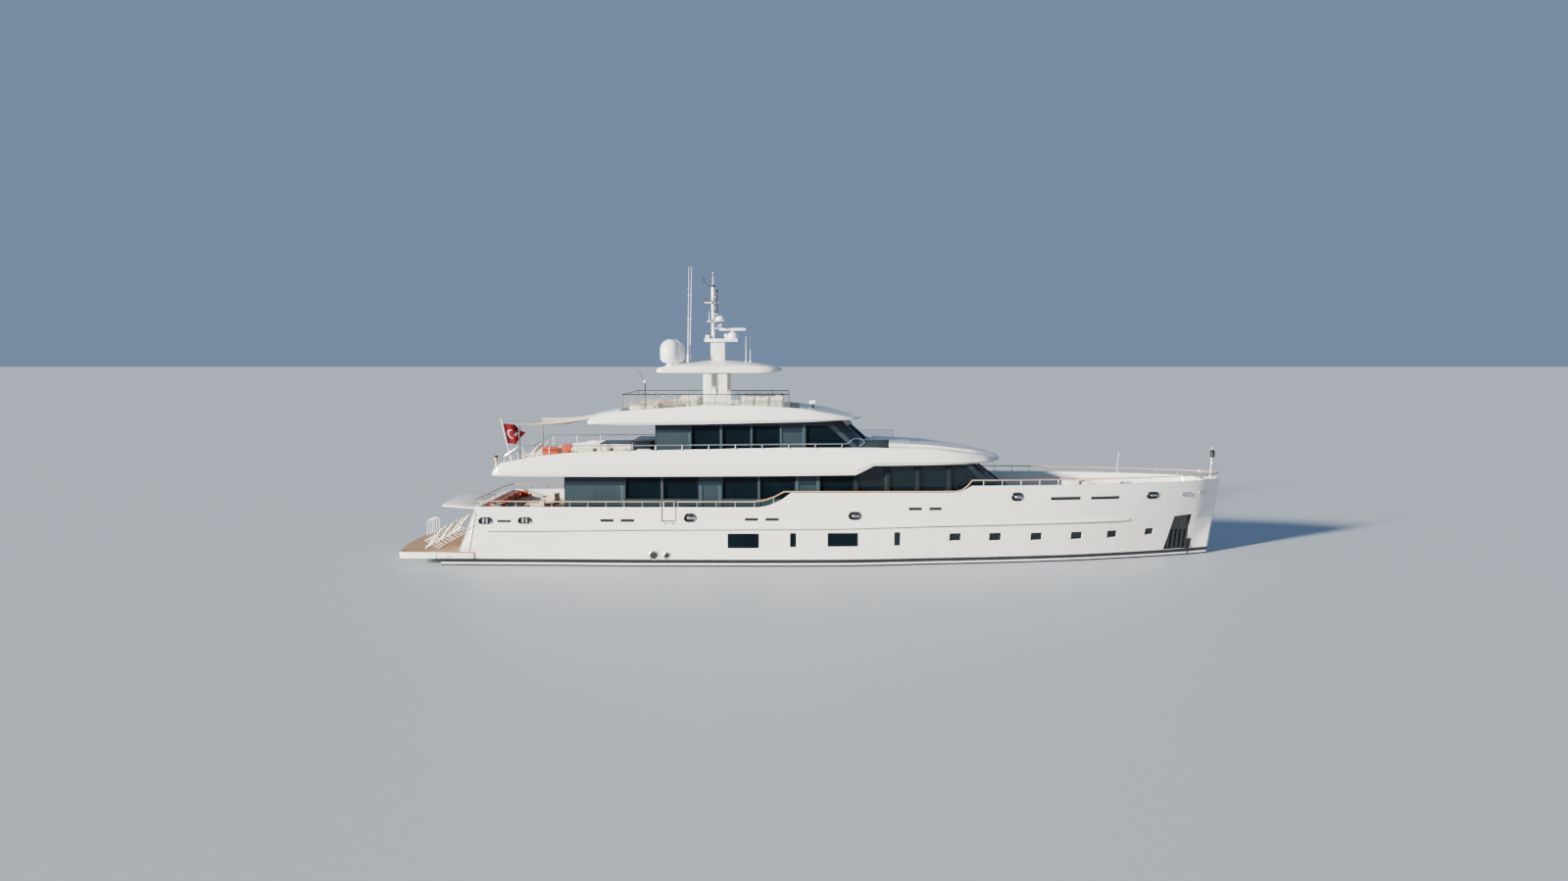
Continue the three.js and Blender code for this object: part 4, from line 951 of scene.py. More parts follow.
def makeHullGlass():
    corner, recess, portDepth = hullLights["corner"], hullLights["recess"], hullLights["portDepth"]
    panes, frames = [], []
    for key, depth in (("windows", recess), ("slits", recess), ("ports", portDepth)):
        for span in hullLights[key]:
            panes.append(panelOnHull("pane", span, corner, depth - hullLights["glassProud"],
                                     hullLights["glassDepth"]))
    dress(bothWays(panes, "hullGlass"), "glass")
    for span in hullLights["windows"] + hullLights["slits"]:
        frames.append(ringOnHull("frame", span, corner, hullLights["frame"], hullLights["frameDepth"],
                                 -recess * 0.55))
    dress(bothWays(frames, "hullWindowFrames"), "black")
    rim = hullLights["rim"]
    rims = [ringOnHull("rim", span, corner, rim, rim, hullLights["rimProud"] - portDepth)
            for span in hullLights["ports"]]
    dress(bothWays(rims, "portRims"), "black")
    # black plates just inside the freeing slots and fairlead holes: painted shade of the openings
    dark = [panelOnHull("slot", span, freeingSlots["corner"], freeingSlots["back"],
                        freeingSlots["shadePlateDepth"])
            for span in freeingSlots["slots"]]
    dark += [panelOnHull("hole", span, holeCorner(span), fairleads["back"], fairleads["shadePlateDepth"])
             for span in fairleads["holes"]]
    dress(bothWays(dark, "hullOpeningsPaintedShade"), "black")


def makeFairleads():
    pieces, rollers = [], []
    for index, (x0, x1, z0, z1) in enumerate(fairleads["holes"]):
        middle = (z0 + z1) / 2
        radius = (z1 - z0) / 2
        ring = []
        for i in range(24):
            angle = 2 * math.pi * i / 24
            side = x1 - radius if math.cos(angle) > 0 else x0 + radius
            x = side + math.cos(angle) * radius
            ring.append(onHull(x, middle + math.sin(angle) * radius, 0.02))
        pieces.append(pipes("fairleadRim", [ring], fairleads["rim"], 8, closed=True))
        # upright rollers aft, one lying roller further forward
        if index < 2:
            for share in (0.36, 0.64):
                x = x0 + (x1 - x0) * share
                foot, head = (onHull(x, z, -0.01) for z in (z0 + 0.02, z1 - 0.02))
                rollers.append(rod("fairleadRoller", foot, head, fairleads["roller"], 12))
        else:
            foot, head = (onHull(x0 + (x1 - x0) * share, middle, 0.0) for share in (0.4, 0.84))
            thick = radius * fairleads["lyingRoller"]
            rollers += [rod("fairleadRoller", foot, head, thick, 16), ball("rollerEnd", foot, thick),
                        ball("rollerEnd", head, thick)]
    # the fairlead rims are dark: painted reflection of the sea in their polished steel
    dress(bothWays(pieces, "fairleadRims"), "darkSteelAndSeaReflection")
    dress(bothWays(rollers, "fairleadRollers"), "steel")
    chocks = []
    for x0, x1, z0, z1 in fairleads["chocks"]:
        base = ringOnHull("chock", (x0, x1, z0, z1), 0.1, fairleads["chockRim"], 0.08, 0.02)
        roundEdges(base, 0.02)
        low, high = (onHull((x0 + x1) / 2, z, -0.02) for z in (z0, z1))
        chocks += [base, rod("chockPin", low, high, fairleads["chockPin"], 12)]
    dress(bothWays(chocks, "bowChocks"), "steel")


# points of the side along a line of (x, z), its last one left out
def alongHull(line, steps, out):
    points = []
    for (x0, z0), (x1, z1) in zip(line, line[1:]):
        count = steps(x1 - x0)
        points += [onHull(x0 + (x1 - x0) * i / count, z0 + (z1 - z0) * i / count, out) for i in range(count)]
    return points


def makeHullLines():
    line = strake["line"]
    points = alongHull(line, lambda length: max(2, round(length / 1.2)), 0.01)
    points = [onHull(*line[0], -0.03), *points[1:], onHull(*line[-1], -0.03)]
    dress(bothWays([pipes("strake", [points], strake["radius"], 10)], "rubStrake"), "hull")
    # a thin black pipe under the strake: painted shadow
    under = [(x, y - 0.03, z - strake["radius"] * 0.93) for x, y, z in points]
    dress(bothWays([pipes("strakeShadowLine", [under], strake["seam"], 6)], "strakeShadowLines"), "black")
    run = alongHull(seams["stern"], lambda length: 8, seams["sternProud"])
    run.append(onHull(*seams["stern"][-1], seams["sternProud"]))
    x0, x1, z0, z1 = seams["gate"]
    side, foot = seams["gateCorner"]
    corners = ((x0, z1), (x0, z0 + foot), (x0 + side, z0), (x1 - side, z0), (x1, z0 + foot), (x1, z1))
    gateLine = [onHull(x, z) for x, z in corners]
    lines = [pipes("seam", [run], seams["sternWidth"], 4),
             pipes("gateLine", [gateLine], seams["gateWidth"], 4)]
    length, low, high = seams["hinge"]
    feet = [panelOnHull("gateFoot", (x, x + length, low, high), 0.01, 0, 0.03) for x in seams["hinges"]]
    dress(bothWays(lines + feet, "hullSeams"), "black")
    makeOutlets()
    say("fairleads, strake and seams")


def makeOutlets():
    rings, plugs = [], []
    turns = [2 * math.pi * i / 20 for i in range(20)]
    for x, z, radius in outlets:
        loop = [onHull(x + radius * math.cos(a), z + radius * math.sin(a), 0.01) for a in turns]
        rings.append(pipes("outletRim", [loop], outletRim, 6, closed=True))
        reach = radius * 0.8
        plugs.append(panelOnHull("outlet", (x - reach, x + reach, z - reach, z + reach), radius * 0.78,
                                 -0.004, 0.01))
    dress(bothWays(rings, "outletRims"), "steel")
    dress(bothWays(plugs, "outletGrilles"), "rubber")


# Decks laid with teak
planking = {"thickness": 0.02, "margin": 0.14, "proud": 0.004}
# plate: the CAD piece that it lies on and the height of its top
deckPlates = {"mainDeckTeak": ("main_deck", 2.5), "sideDeckTeak": ("foredeck", 3.05),
              "foredeckTeak": ("foredeck", 3.5),
              "upperDeckTeak": ("upper_deck", 5.35), "sunDeckTeak": ("sun_deck", 8.14),
              "platformTeak": ("swim_platform", 0.75)}


# a thin planked plate on the flat faces at one height, with a margin board round it
def deckPlate(name, nodeName, level):
    plate = fromNodes(name, nodeName)
    height = level * modelScale
    selectFaces(plate, lambda face: face.normal.z < 0.99 or abs(face.center.z - height) > 0.002)
    bpy.ops.mesh.delete(type="FACE")
    bpy.ops.mesh.select_all(action="SELECT")
    bpy.ops.mesh.dissolve_limited(angle_limit=math.radians(1))
    bpy.ops.mesh.quads_convert_to_tris()
    bpy.ops.mesh.inset(thickness=planking["margin"] * modelScale, use_boundary=True)
    leaveEdit()
    inner = [face.select for face in plate.data.polygons]
    moved(plate, (0, 0, planking["proud"]))
    for finishName in ("teak", "rail"):
        plate.data.materials.append(finishes[finishName][0])
    for face, isInner in zip(plate.data.polygons, inner):
        face.material_index = 0 if isInner else 1
    modify(plate, "SOLIDIFY", thickness=planking["thickness"] * modelScale, offset=1)
    dress(plate, "teak", angle=30)


def makeDecks():
    for name, (nodeName, level) in deckPlates.items():
        deckPlate(name, nodeName, level)
    say("teak decks")


# White superstructure bands
bands = {"upperDeckBand": ("upper_deck", 0.05), "sunDeckBand": ("sun_deck", 0.05)}
# x, half width, underside, shoulder, crown
hardtopRows = [
    (-7.13, 2.04, 10.6, 10.68, 10.7), (-7.09, 2.18, 10.56, 10.73, 10.77), (-6.98, 2.28, 10.53, 10.79, 10.84),
    (-6.7, 2.34, 10.52, 10.84, 10.92), (-6.1, 2.37, 10.52, 10.88, 11.03), (-5.4, 2.38, 10.52, 10.9, 11.12),
    (-4.4, 2.38, 10.52, 10.9, 11.21), (-3.3, 2.38, 10.52, 10.9, 11.22), (-2.2, 2.38, 10.52, 10.9, 11.14),
    (-1.4, 2.33, 10.52, 10.87, 11.04), (-0.9, 2.22, 10.53, 10.84, 10.96), (-0.55, 2.02, 10.55, 10.8, 10.88),
    (-0.25, 1.68, 10.59, 10.75, 10.8), (-0.09, 1.25, 10.62, 10.7, 10.73),
]
roofPlate = {"low": (-10.3, -3.35, 0), "high": (-8.95, 3.35, 0.15), "foreTop": 8.475, "rise": 0.225}
# the sun deck's aft end reaches further aft, and its corners are fuller
sunDeckEnd = {"from": -10.4, "shift": 0.13, "wider": 1.015, "cornerFrom": -10.5, "cornerWider": 1.05}
platformMarks = {"seam": -19.06, "seamFrom": 0.36, "seamTo": 0.72, "slot": (-18.5, -18.3, 0.46, 0.5)}
legSlot = (-4.04, -3.66, 10.1, 10.47)


def makeBands():
    for name, (node, edge) in bands.items():
        shell = fromNodes(name, node)
        if node == "sun_deck":
            stretchSunDeck(shell)
        modify(shell, "BEVEL", width=edge * modelScale, segments=3, limit_method="ANGLE",
               angle_limit=math.radians(38), use_clamp_overlap=True)
        dress(shell, "gelcoat", angle=42)
        modify(shell, "WEIGHTED_NORMAL", keep_sharp=True)
        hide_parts(node)
    makeRoofPlate()
    makeHardtop()
    makePlatform()
    say("deck bands, hardtop and platform")


def stretchSunDeck(shell):
    for vertex in shell.data.vertices:
        x, y, z = vertex.co / modelScale
        if x < sunDeckEnd["from"]:
            wider = sunDeckEnd["cornerWider"] if x < sunDeckEnd["cornerFrom"] else sunDeckEnd["wider"]
            vertex.co = scaled((x - sunDeckEnd["shift"], y * wider, z))


# a thin plate on the roof whose blue-grey paints the shade and sky reflection of the roof top
def makeRoofPlate():
    plate = block("roofPlate", roofPlate["low"], roofPlate["high"], 0.012)
    for vertex in plate.data.vertices:
        x, y, z = vertex.co / modelScale
        vertex.co = scaled((x, y, z + roofPlate["foreTop"] + (x - roofPlate["high"][0]) * roofPlate["rise"]))
    dress(plate, "roofShadeBlue")


def makeHardtop():
    rings = []
    for x, half, low, shoulder, crown in hardtopRows:
        side = [(half - 0.09, low), (half - 0.02, low + 0.02), (half, low + 0.07),
                (half - 0.03, shoulder - 0.03),
                (half - 0.1, shoulder + 0.02), (half * 0.62, crown - (crown - shoulder) * 0.3),
                (half * 0.25, crown)]
        rings.append([(x, y, z) for y, z in side] + [(x, -y, z) for y, z in reversed(side)])
    roof = lofted("hardtopShell", rings)
    dress(roof, "gelcoat", angle=50)
    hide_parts("hardtop")
    x0, x1, z0, z1 = legSlot
    for side, sign in bothSides.items():
        post = fromNodes("hardtopLeg_" + side, "hardtop_leg_" + side)
        slot = block("slot", (x0, sign * 2 - 0.5, z0), (x1, sign * 2 + 0.5, z1), 0)
        modify(post, "BOOLEAN", operation="DIFFERENCE", object=slot, solver="EXACT")
        discard(slot)
        roundEdges(post, 0.04, 3, 60)
        dress(post, "mastPaint", angle=40)
        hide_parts("hardtop_leg_" + side)


def makePlatform():
    platform = eased("swimPlatformShell", "swim_platform", "hull", 0.05, 3, 60)
    half = abs(spanOf("swim_platform")[0][1])
    x, low, high = platformMarks["seam"], platformMarks["seamFrom"], platformMarks["seamTo"]
    x0, x1, z0, z1 = platformMarks["slot"]
    marks = []
    for sign in bothSides.values():
        y = sign * (half + 0.002)
        marks.append(pipes("platformSeam", [[(x, y, low), (x, y, high)]], 0.009, 4))
        # a thin black block on the platform's side: painted shade inside a slot
        marks.append(block("platformSlotShade", (x0, sign * half - 0.006, z0), (x1, sign * half + 0.006, z1), 0))
    dress(merged("platformMarks", marks), "black")
    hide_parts("swim_platform")


# Cap rails
capRail = {"steps": [(-1.7, 0.0, 3.6, 4.15), (9.4, 10.25, 4.15, 4.75)], "depth": 0.05, "post": 0.024,
           "pitch": 1.04,
           "runs": [(-16.6, -6.72), (-5.77, 24.4)], "foot": 0.05, "stern": (-2.6, -1.3, 0, 1.3, 2.6)}
sheerSteps = [(-1.5, 0.4, 3.27, 4.06), (9.2, 10.25, 4.06, 4.42)]


# the height at x of a line that rises in steps of from x, to x, low and high
def stepped(steps, x):
    height = steps[0][2]
    for start, end, low, high in steps:
        share = min(max((x - start) / (end - start), 0), 1)
        height += (high - low) * share * share
    return height


# the wooden cap of a rail, without its posts
def capOf(name, node):
    cap = fromNodes(name, node)

    def isPost(face):
        x, _, z = face.center / modelScale
        return z < stepped(capRail["steps"], x) - capRail["depth"] - 0.02 and abs(face.normal.z) < 0.5

    selectFaces(cap, isPost)
    bpy.ops.mesh.delete(type="FACE")
    bpy.ops.mesh.select_all(action="SELECT")
    bpy.ops.mesh.fill_holes(sides=12)
    leaveEdit()
    roundEdges(cap, 0.018, 2, 50)
    dress(cap, "rail", angle=40)
    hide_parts(node)


def makeCapRails():
    for node in ("cap_rail_stern", "cap_rail_aft_port", "cap_rail_aft_starboard", "cap_rail_forward"):
        capOf(node + "_cap", node)
    runs = []
    for start, end in capRail["runs"]:
        count = round((end - start) / capRail["pitch"])
        for i in range(count + 1):
            x = start + (end - start) * i / count
            low = stepped(sheerSteps, x)
            y = onHull(x, low - 0.06)[1] + 0.08
            runs.append([(x, y, low - 0.02), (x, y, stepped(capRail["steps"], x) - 0.03)])
    dress(bothWays([pipes("posts", runs, capRail["post"], 10)], "capRailPosts"), "steel")
    feet = [upright("foot", run[0], 0.05, capRail["foot"], 10) for run in runs]
    dress(bothWays(feet, "capRailFeet"), "steel")
    stern = [[(-16.9, y, 3.24), (-16.98, y, 3.57)] for y in capRail["stern"]]
    dress(pipes("sternRailPosts", stern, capRail["post"], 10), "steel")
    say("cap rails")


# Deckhouses
mainHouse = {
    "half": 3.2,
    "windows": [(-8.73, -6.8, 3.62, 4.84), (-6.64, -4.73, 3.62, 4.84), (-3.39, -1.45, 3.62, 4.84),
                (-1.3, 0.6, 3.62, 4.84), (2.0, 3.84, 3.9, 4.84), (4.11, 5.53, 4.0, 5.42),
                (5.84, 7.25, 4.0, 5.44),
                (7.51, 8.96, 4.0, 5.46)],
    "mullions": [(-9.0, -8.75, 2.52, 4.36), (-6.78, -6.66, 2.52, 4.93), (-4.7, -4.5, 2.52, 4.36),
                 (-3.62, -3.41, 2.52, 4.36), (-1.43, -1.32, 2.52, 4.93), (0.63, 0.83, 3.07, 4.94),
                 (1.8, 1.98, 3.07, 4.95), (3.87, 4.08, 3.07, 5.0), (5.56, 5.81, 3.07, 5.5),
                 (7.28, 7.48, 3.07, 5.52), (8.99, 9.22, 3.07, 5.55)],
    "panelSeams": [(-10.4, 2.52, 4.93), (-12.1, 2.52, 4.93)],
}
upperHouse = {
    "half": 3.0,
    "windows": [(-5.09, -3.55, 6.2, 7.6), (-3.38, -1.86, 6.2, 7.6), (-1.72, -0.24, 6.2, 7.6)],
    "mullions": [(-3.53, -3.4, 5.37, 7.72), (-1.84, -1.74, 5.37, 7.74), (-0.22, -0.1, 5.37, 7.78),
                 (1.02, 1.2, 5.37, 7.82), (-5.25, -5.11, 5.37, 7.26)],
    "panelSeams": [(-7.05, 5.37, 7.72), (-6.1, 5.37, 7.26)],
}
rakedWindows = {
    "main": [(9.25, 4.0), (11.4, 4.0), (10.02, 5.42), (9.25, 5.42)],
    "upper": [(1.23, 6.2), (4.0, 6.2), (2.45, 7.6), (1.23, 7.6)],
}


houseTrim = {"gasket": 0.035, "mullion": 0.035, "seam": 0.008}


def gasket(half, corners):
    return pipes("gasket", [[(x, -half, z) for x, z in corners]], houseTrim["gasket"], 4, closed=True)


def makeHouseTrim(name, house, raked):
    half = house["half"]
    for finishName, forward in (("mullion", False), ("darkMullion", True)):
        bars = [block("mullion", (x0, -half - houseTrim["mullion"], z0), (x1, -half + 0.01, z1), 0.012)
                for x0, x1, z0, z1 in house["mullions"] if (x0 > forwardGlassFrom - 0.2) == forward]
        if bars:
            dress(bothWays(bars, name + finishName.title()), finishName)
    seals = [gasket(half, ((x0, z0), (x1, z0), (x1, z1), (x0, z1))) for x0, x1, z0, z1 in house["windows"]]
    seals.append(gasket(half, raked))
    seals += [pipes("panelSeam", [[(x, -half - 0.002, z0), (x, -half - 0.002, z1)]], houseTrim["seam"], 4)
              for x, z0, z1 in house["panelSeams"]]
    dress(bothWays(seals, name + "Gaskets"), "black")


def makeHouses():
    makeHouseTrim("mainHouse", mainHouse, rakedWindows["main"])
    makeHouseTrim("upperHouse", upperHouse, rakedWindows["upper"])
    say("houses")


# Rails and glass of the upper decks
upperRail = {
    "path": [(-15.62, 3.5, 5.84), (-15.3, 3.86, 5.98), (-14.4, 3.95, 6.6), (-13.4, 3.98, 6.6),
             (-11.2, 4.01, 6.61),
             (-7.8, 4.03, 6.63), (3.45, 4.03, 6.73)],
    "posts": (-14.2, 3.15, 12), "sternPosts": (-2.4, -0.8, 0.8, 2.4), "deck": 5.35, "tube": 0.027,
    "post": 0.017,
    "hoop": [(3.45, 6.73), (3.74, 7.0), (4.2, 7.02), (4.42, 6.8), (4.08, 6.6)], "hoopTube": 0.022,
    "postTop": 6.6, "topFrom": -11.2, "topRise": 0.0085, "foot": 0.045,
}
# finish, from x, to x, low and high of the panes beside the helm
# the dark pane on the starboard side paints the shade of the well behind it
wingPanes = {"starboard": [("wellShadeGlass", 4.1, 5.7, 6.47, 6.95), ("clearGlass", 5.72, 6.78, 6.47, 6.95)],
             "port": [("clearGlass", 4.1, 6.78, 6.47, 6.95)]}
wingRim = {"half": 3.95, "from": 4.1, "tube": 0.012}
bandTop = [(-15.45, 5.66), (-13.4, 6.05), (-11.2, 6.27), (-7.8, 6.35), (-0.1, 6.5), (4.9, 6.5)]
screenRail = {"tube": 0.026, "post": 0.017, "pitch": 1.02, "foot": 0.035,
              "across": (-0.98, -0.6, -0.2, 0.2, 0.6, 0.98)}


def heightAlong(rows, x):
    for (x0, z0), (x1, z1) in zip(rows, rows[1:]):
        if x0 <= x <= x1:
            return z0 + (z1 - z0) * (x - x0) / (x1 - x0)
    return rows[0][1] if x < rows[0][0] else rows[-1][1]


def makeUpperRails():
    starboard = [(x, -half, z) for x, half, z in upperRail["path"]]
    port = [(x, half, z) for x, half, z in upperRail["path"]]
    line = pipes("upperLine", [rounded([*reversed(starboard), *port], 0.25)], upperRail["tube"], 10)
    start, end, count = upperRail["posts"]
    posts = []
    for i in range(count + 1):
        x = start + (end - start) * i / count
        half = heightAlong([(x, y) for x, y, z in upperRail["path"]], x)
        top = upperRail["postTop"] + max(0, x - upperRail["topFrom"]) * upperRail["topRise"]
        posts += [[(x, y, heightAlong(bandTop, x) - 0.04), (x, y, top)] for y in (-half, half)]
    x, half, z = upperRail["path"][0]
    posts += [[(x, y, upperRail["deck"]), (x, y, z)] for y in upperRail["sternPosts"]]
    y = upperRail["path"][-1][1]
    hoops = [rounded([(x, side * y, z) for x, z in upperRail["hoop"]], 0.14) for side in (-1, 1)]
    rails = [line, pipes("posts", posts, upperRail["post"], 8),
             pipes("hoops", hoops, upperRail["hoopTube"], 10)]
    feet = [upright("foot", run[0], 0.06, upperRail["foot"], 10) for run in posts]
    dress(merged("upperRails", rails + feet), "steel")
    makeWingPanes()
    say("upper rails")


def makeWingPanes():
    rims = []
    for side, sign in bothSides.items():
        y = sign * wingRim["half"]
        for finishName, x0, x1, z0, z1 in wingPanes[side]:
            title = "wing" + side.title() + finishName.title()
            dress(block(title, (x0, y - 0.01, z0), (x1, y + 0.01, z1), 0.004), finishName)
        rims.append(rounded([(wingRim["from"], y, z1), (x1, y, z1), (x1 - 0.12, y, z0)], 0.2))
    dress(pipes("wingRims", rims, wingRim["tube"], 8), "steel")


def makeSunScreen():
    low, high = spanOf("sun_deck_screen")
    x0, x1, y, top = low[0], high[0], high[1], high[2]
    outline = [(x1, -y, top), (x0, -y, top), (x0, y, top), (x1, y, top)]
    dress(pipes("screenRail", [outline], screenRail["tube"], 10), "darkSteelAndSeaReflection")
    count = round((x1 - x0) / screenRail["pitch"])
    posts, feet = [], []
    for i in range(count + 1):
        x = x0 + (x1 - x0) * i / count
        posts.append([(x, -y - 0.012, low[2] + 0.06), (x, -y - 0.012, top)])
        feet.append(upright("postFoot", (x, -y - 0.02, low[2] + 0.02), 0.1, screenRail["foot"], 12))
    dress(bothWays([pipes("posts", posts, screenRail["post"], 8), *feet], "screenPosts"), "darkSteelAndSeaReflection")
    across = [[(x0 - 0.012, y * share, z) for z in (low[2] + 0.06, top)] for share in screenRail["across"]]
    dress(pipes("screenPostsAft", across, screenRail["post"], 8), "darkSteelAndSeaReflection")
    say("sun deck screen")


# Mast, domes and antennas
mastGear = {
    "pole": -4.07, "stack": (-3.86, 0.0, [13.95, 14.29, 14.63, 14.97]),
    "armLamps": [(13.36, 0.7), (14.42, 0.32)],
    "brackets": [(-4.07, -3.72, 13.07), (-4.43, -3.42, 13.48), (-4.07, -3.82, 13.89), (-4.07, -3.8, 14.24),
                 (-4.55, -3.76, 14.54), (-4.07, -3.8, 14.88)], "aftLamp": (-4.5, 0.0, 14.54),
    "dome": (-3.67, 0.0, 13.47), "radar": (-2.95, 0, 12.45),
    "domeProfile": [(0.01, 0), (0.234, 0), (0.26, 0.04), (0.26, 0.12), (0.234, 0.2), (0.156, 0.27),
                    (0.01, 0.3)],
    "radarProfile": [(0.01, 0), (0.3, 0), (0.31, 0.2), (0.27, 0.3), (0.16, 0.37), (0.01, 0.38)],
    "locker": ((-4.5, -0.26, 12.45), (-4.26, 0.26, 12.67)),
    "loudhailer": ((-3.85, -0.09, 13.2), (-3.6, -0.09, 13.2)),
    "camera": (-3.35, 0.3, 12.64), "cameraFoot": (-3.35, 0.3, 12.45),
    "tip": (-4.07, 0, 16.02), "cap": (-4.07, 0, 15.4), "stay": ((-4.07, 0, 15.3), (-4.61, 0, 15.72)),
    "sensor": (-4.61, 0, 15.7), "cups": (-4.61, 0, 15.93), "steps": (11.4, 11.7, 12.0),
    # x, y, low, high
    "sticks": [(-4.3, 0.0, 13.48, 14.02), (-4.07, 0.42, 14.72, 15.3), (-4.07, -0.42, 14.72, 15.2),
               (-4.07, -0.7, 13.34, 14.1)],
}
domes = {"x": -6.4, "height": 1.35,
         "foot": [(0.02, 0), (0.22, 0), (0.22, 0.1), (0.27, 0.12), (0.27, 0.16), (0.22, 0.18)]}
searchlight = (1.68, 0.0, 8.8)
whipLean = {"starboard": 0.13, "port": 0.1}
whipCollars = (0.12, 0.45, 0.7)
shortWhips = {"places": [(-2.17, -0.6), (-1.96, 0.6)], "low": 11.12, "high": 12.59, "foot": 11.02}
deckLamp = {"foot": (-7.63, -3.0, 8.15), "head": (-7.63, -3.0, 10.03), "arm": (-8.07, -3.0, 10.77)}


def makeMast():
    post = eased("mastBody", "mast", "mastPaint", 0.025, 2, 50)
    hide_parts("mast")
    scanner = eased("radarBar", "radar_scanner", "dome", 0.05, 3, 60, body="radar_scanner")
    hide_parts("radar_scanner")
    makeMastGear()
    makeMastLamps()
    steps = [[(-3.42, -0.2, z), (-3.33, -0.2, z), (-3.33, 0.2, z), (-3.42, 0.2, z)]
             for z in mastGear["steps"]]
    dress(pipes("mastSteps", steps, 0.016, 8), "steel")
    say("mast")


def makeMastGear():
    gear = [block("bracket", (x0, -0.035, z - 0.05), (x1, 0.035, z), 0.01) for x0, x1,
            z in mastGear["brackets"]]
    gear += [spun("mastDome", mastGear["dome"], mastGear["domeProfile"], 28),
             block("locker", *mastGear["locker"], 0.04, 3),
             spun("radarHousing", mastGear["radar"], mastGear["radarProfile"], 28),
             rod("loudhailer", *mastGear["loudhailer"], 0.035, 16, 0.1),
             ball("nightCamera", mastGear["camera"], 0.12),
             upright("cameraFoot", mastGear["cameraFoot"], 0.15, 0.07, 12)]
    gear += [rod("stick", (x, y, z0), (x, y, z1), 0.016, 8, 0.008) for x, y, z0, z1 in mastGear["sticks"]]
    dress(merged("mastGear", gear), "dome")


def makeMastLamps():
    lamps, dark = [], []

    # the lamp's height and radius, then where its cap starts, the cap's height and its two radii
    def addLamp(x, y, z, height, radius, capFrom, capHeight, capRadius, capEnd=None):
        lamps.append(upright("lamp", (x, y, z), height, radius, 14))
        dark.append(upright("lampCap", (x, y, z + capFrom), capHeight, capRadius, 14, capEnd))

    x, y, levels = mastGear["stack"]
    for z in levels:
        addLamp(x, y, z, 0.2, 0.055, 0.18, 0.12, 0.066)
    addLamp(*mastGear["aftLamp"], 0.2, 0.055, 0.18, 0.06, 0.07, 0.03)
    for z, half in mastGear["armLamps"]:
        for y in (-half, half):
            addLamp(mastGear["pole"], y, z, 0.14, 0.05, 0.13, 0.05, 0.06)
    dark += [upright("mastTip", mastGear["tip"], 0.22, 0.035, 10, 0.02),
             upright("poleCap", mastGear["cap"], 0.12, 0.112, 20),
             rod("sensorStay", *mastGear["stay"], 0.012, 8),
             upright("windSensor", mastGear["sensor"], 0.22, 0.035, 10),
             ball("windCups", mastGear["cups"], 0.055, 0.5)]
    dress(merged("mastLamps", lamps), "lampGlass")
    dress(merged("mastLampShades", dark), "black")


def makeDomes():
    for side in bothSides:
        name = "radome_" + side
        low, high = spanOf(name)
        radius = (high[0] - low[0]) / 2
        x, y = domes["x"], (low[1] + high[1]) / 2
        bottom = high[2] - domes["height"]
        foot = low[2] - bottom
        # the foot with its flange, then the bowl, the seam and the crown
        profile = [(r, foot + z) for r, z in domes["foot"]]
        profile += [(domes["foot"][-1][0], 0.03), (radius * 0.7, 0.04), (radius * 0.93, 0.17),
                    (radius, 0.28)]
        crown = domes["height"] - radius
        profile += [(radius, crown - 0.015), (radius - 0.008, crown), (radius, crown + 0.015)]
        profile += [(radius * math.cos(math.radians(a)), crown + radius * math.sin(math.radians(a)))
                    for a in range(8, 89, 8)]
        profile.append((0.004, domes["height"]))
        dome = dress(spun("radome" + side.title(), (x, y, bottom), profile, 40), "dome", angle=40)
        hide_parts(name)
    say("domes")


def makeWhips():
    for side in bothSides:
        low, high = spanOf("whip_" + side)
        x, y = (low[0] + high[0]) / 2, (low[1] + high[1]) / 2
        lean = whipLean[side]
        pole = [rod("whipPole", (x, y, low[2] + 0.3), (x + lean, y, high[2] - 0.004), 0.024, 12, 0.009),
                upright("whipFoot", (x, y, low[2]), 0.5, 0.055, 14)]
        pole = dress(merged("whipRod" + side.title(), pole), "dome")
        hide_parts("whip_" + side)
        spots = [(x + lean * share, y, low[2] + (high[2] - low[2]) * share) for share in whipCollars]
        collars = [upright("collar", spot, 0.08, 0.034, 14) for spot in spots]
        dress(merged("whipCollars" + side.title(), collars), "dome")
    short = [rod("shortWhip", (x, y, shortWhips["low"]), (x, y, shortWhips["high"]), 0.018, 10, 0.009)
             for x, y in shortWhips["places"]]
    short += [upright("shortFoot", (x, y, shortWhips["foot"]), 0.18, 0.05, 12) for x,
              y in shortWhips["places"]]
    dress(merged("shortWhips", short), "dome")
    makeSearchlight()
    makeDeckLamp()
    say("antennas, searchlight and lamp")


def makeSearchlight():
    x, y, z = searchlight
    barrel = rod("lightBarrel", (x - 0.13, y, z), (x + 0.14, y, z), 0.1, 24, 0.13)
    roundEdges(barrel, 0.015, 2, 60)
    dress(merged("searchlight", [barrel, ball("lightBack", (x - 0.13, y, z), 0.1)]), "dome")
    foot = [rod("lightFoot", (x, y, 8.42), (x, y, z - 0.06), 0.055, 14),
            rod("lightLens", (x + 0.13, y, z), (x + 0.15, y, z), 0.11, 24)]
    dress(merged("searchlightFoot", foot), "black")


def makeDeckLamp():
    foot, head, arm = deckLamp["foot"], deckLamp["head"], deckLamp["arm"]
    lamp = [rod("lampPost", foot, head, 0.032, 14), rod("lampArm", head, arm, 0.014, 10),
            upright("lampFlange", foot, 0.04, 0.1, 20)]
    dress(merged("deckLamp", lamp), "black")
    dress(ball("deckLampBall", (head[0], head[1], head[2] + 0.04), 0.09), "dome")


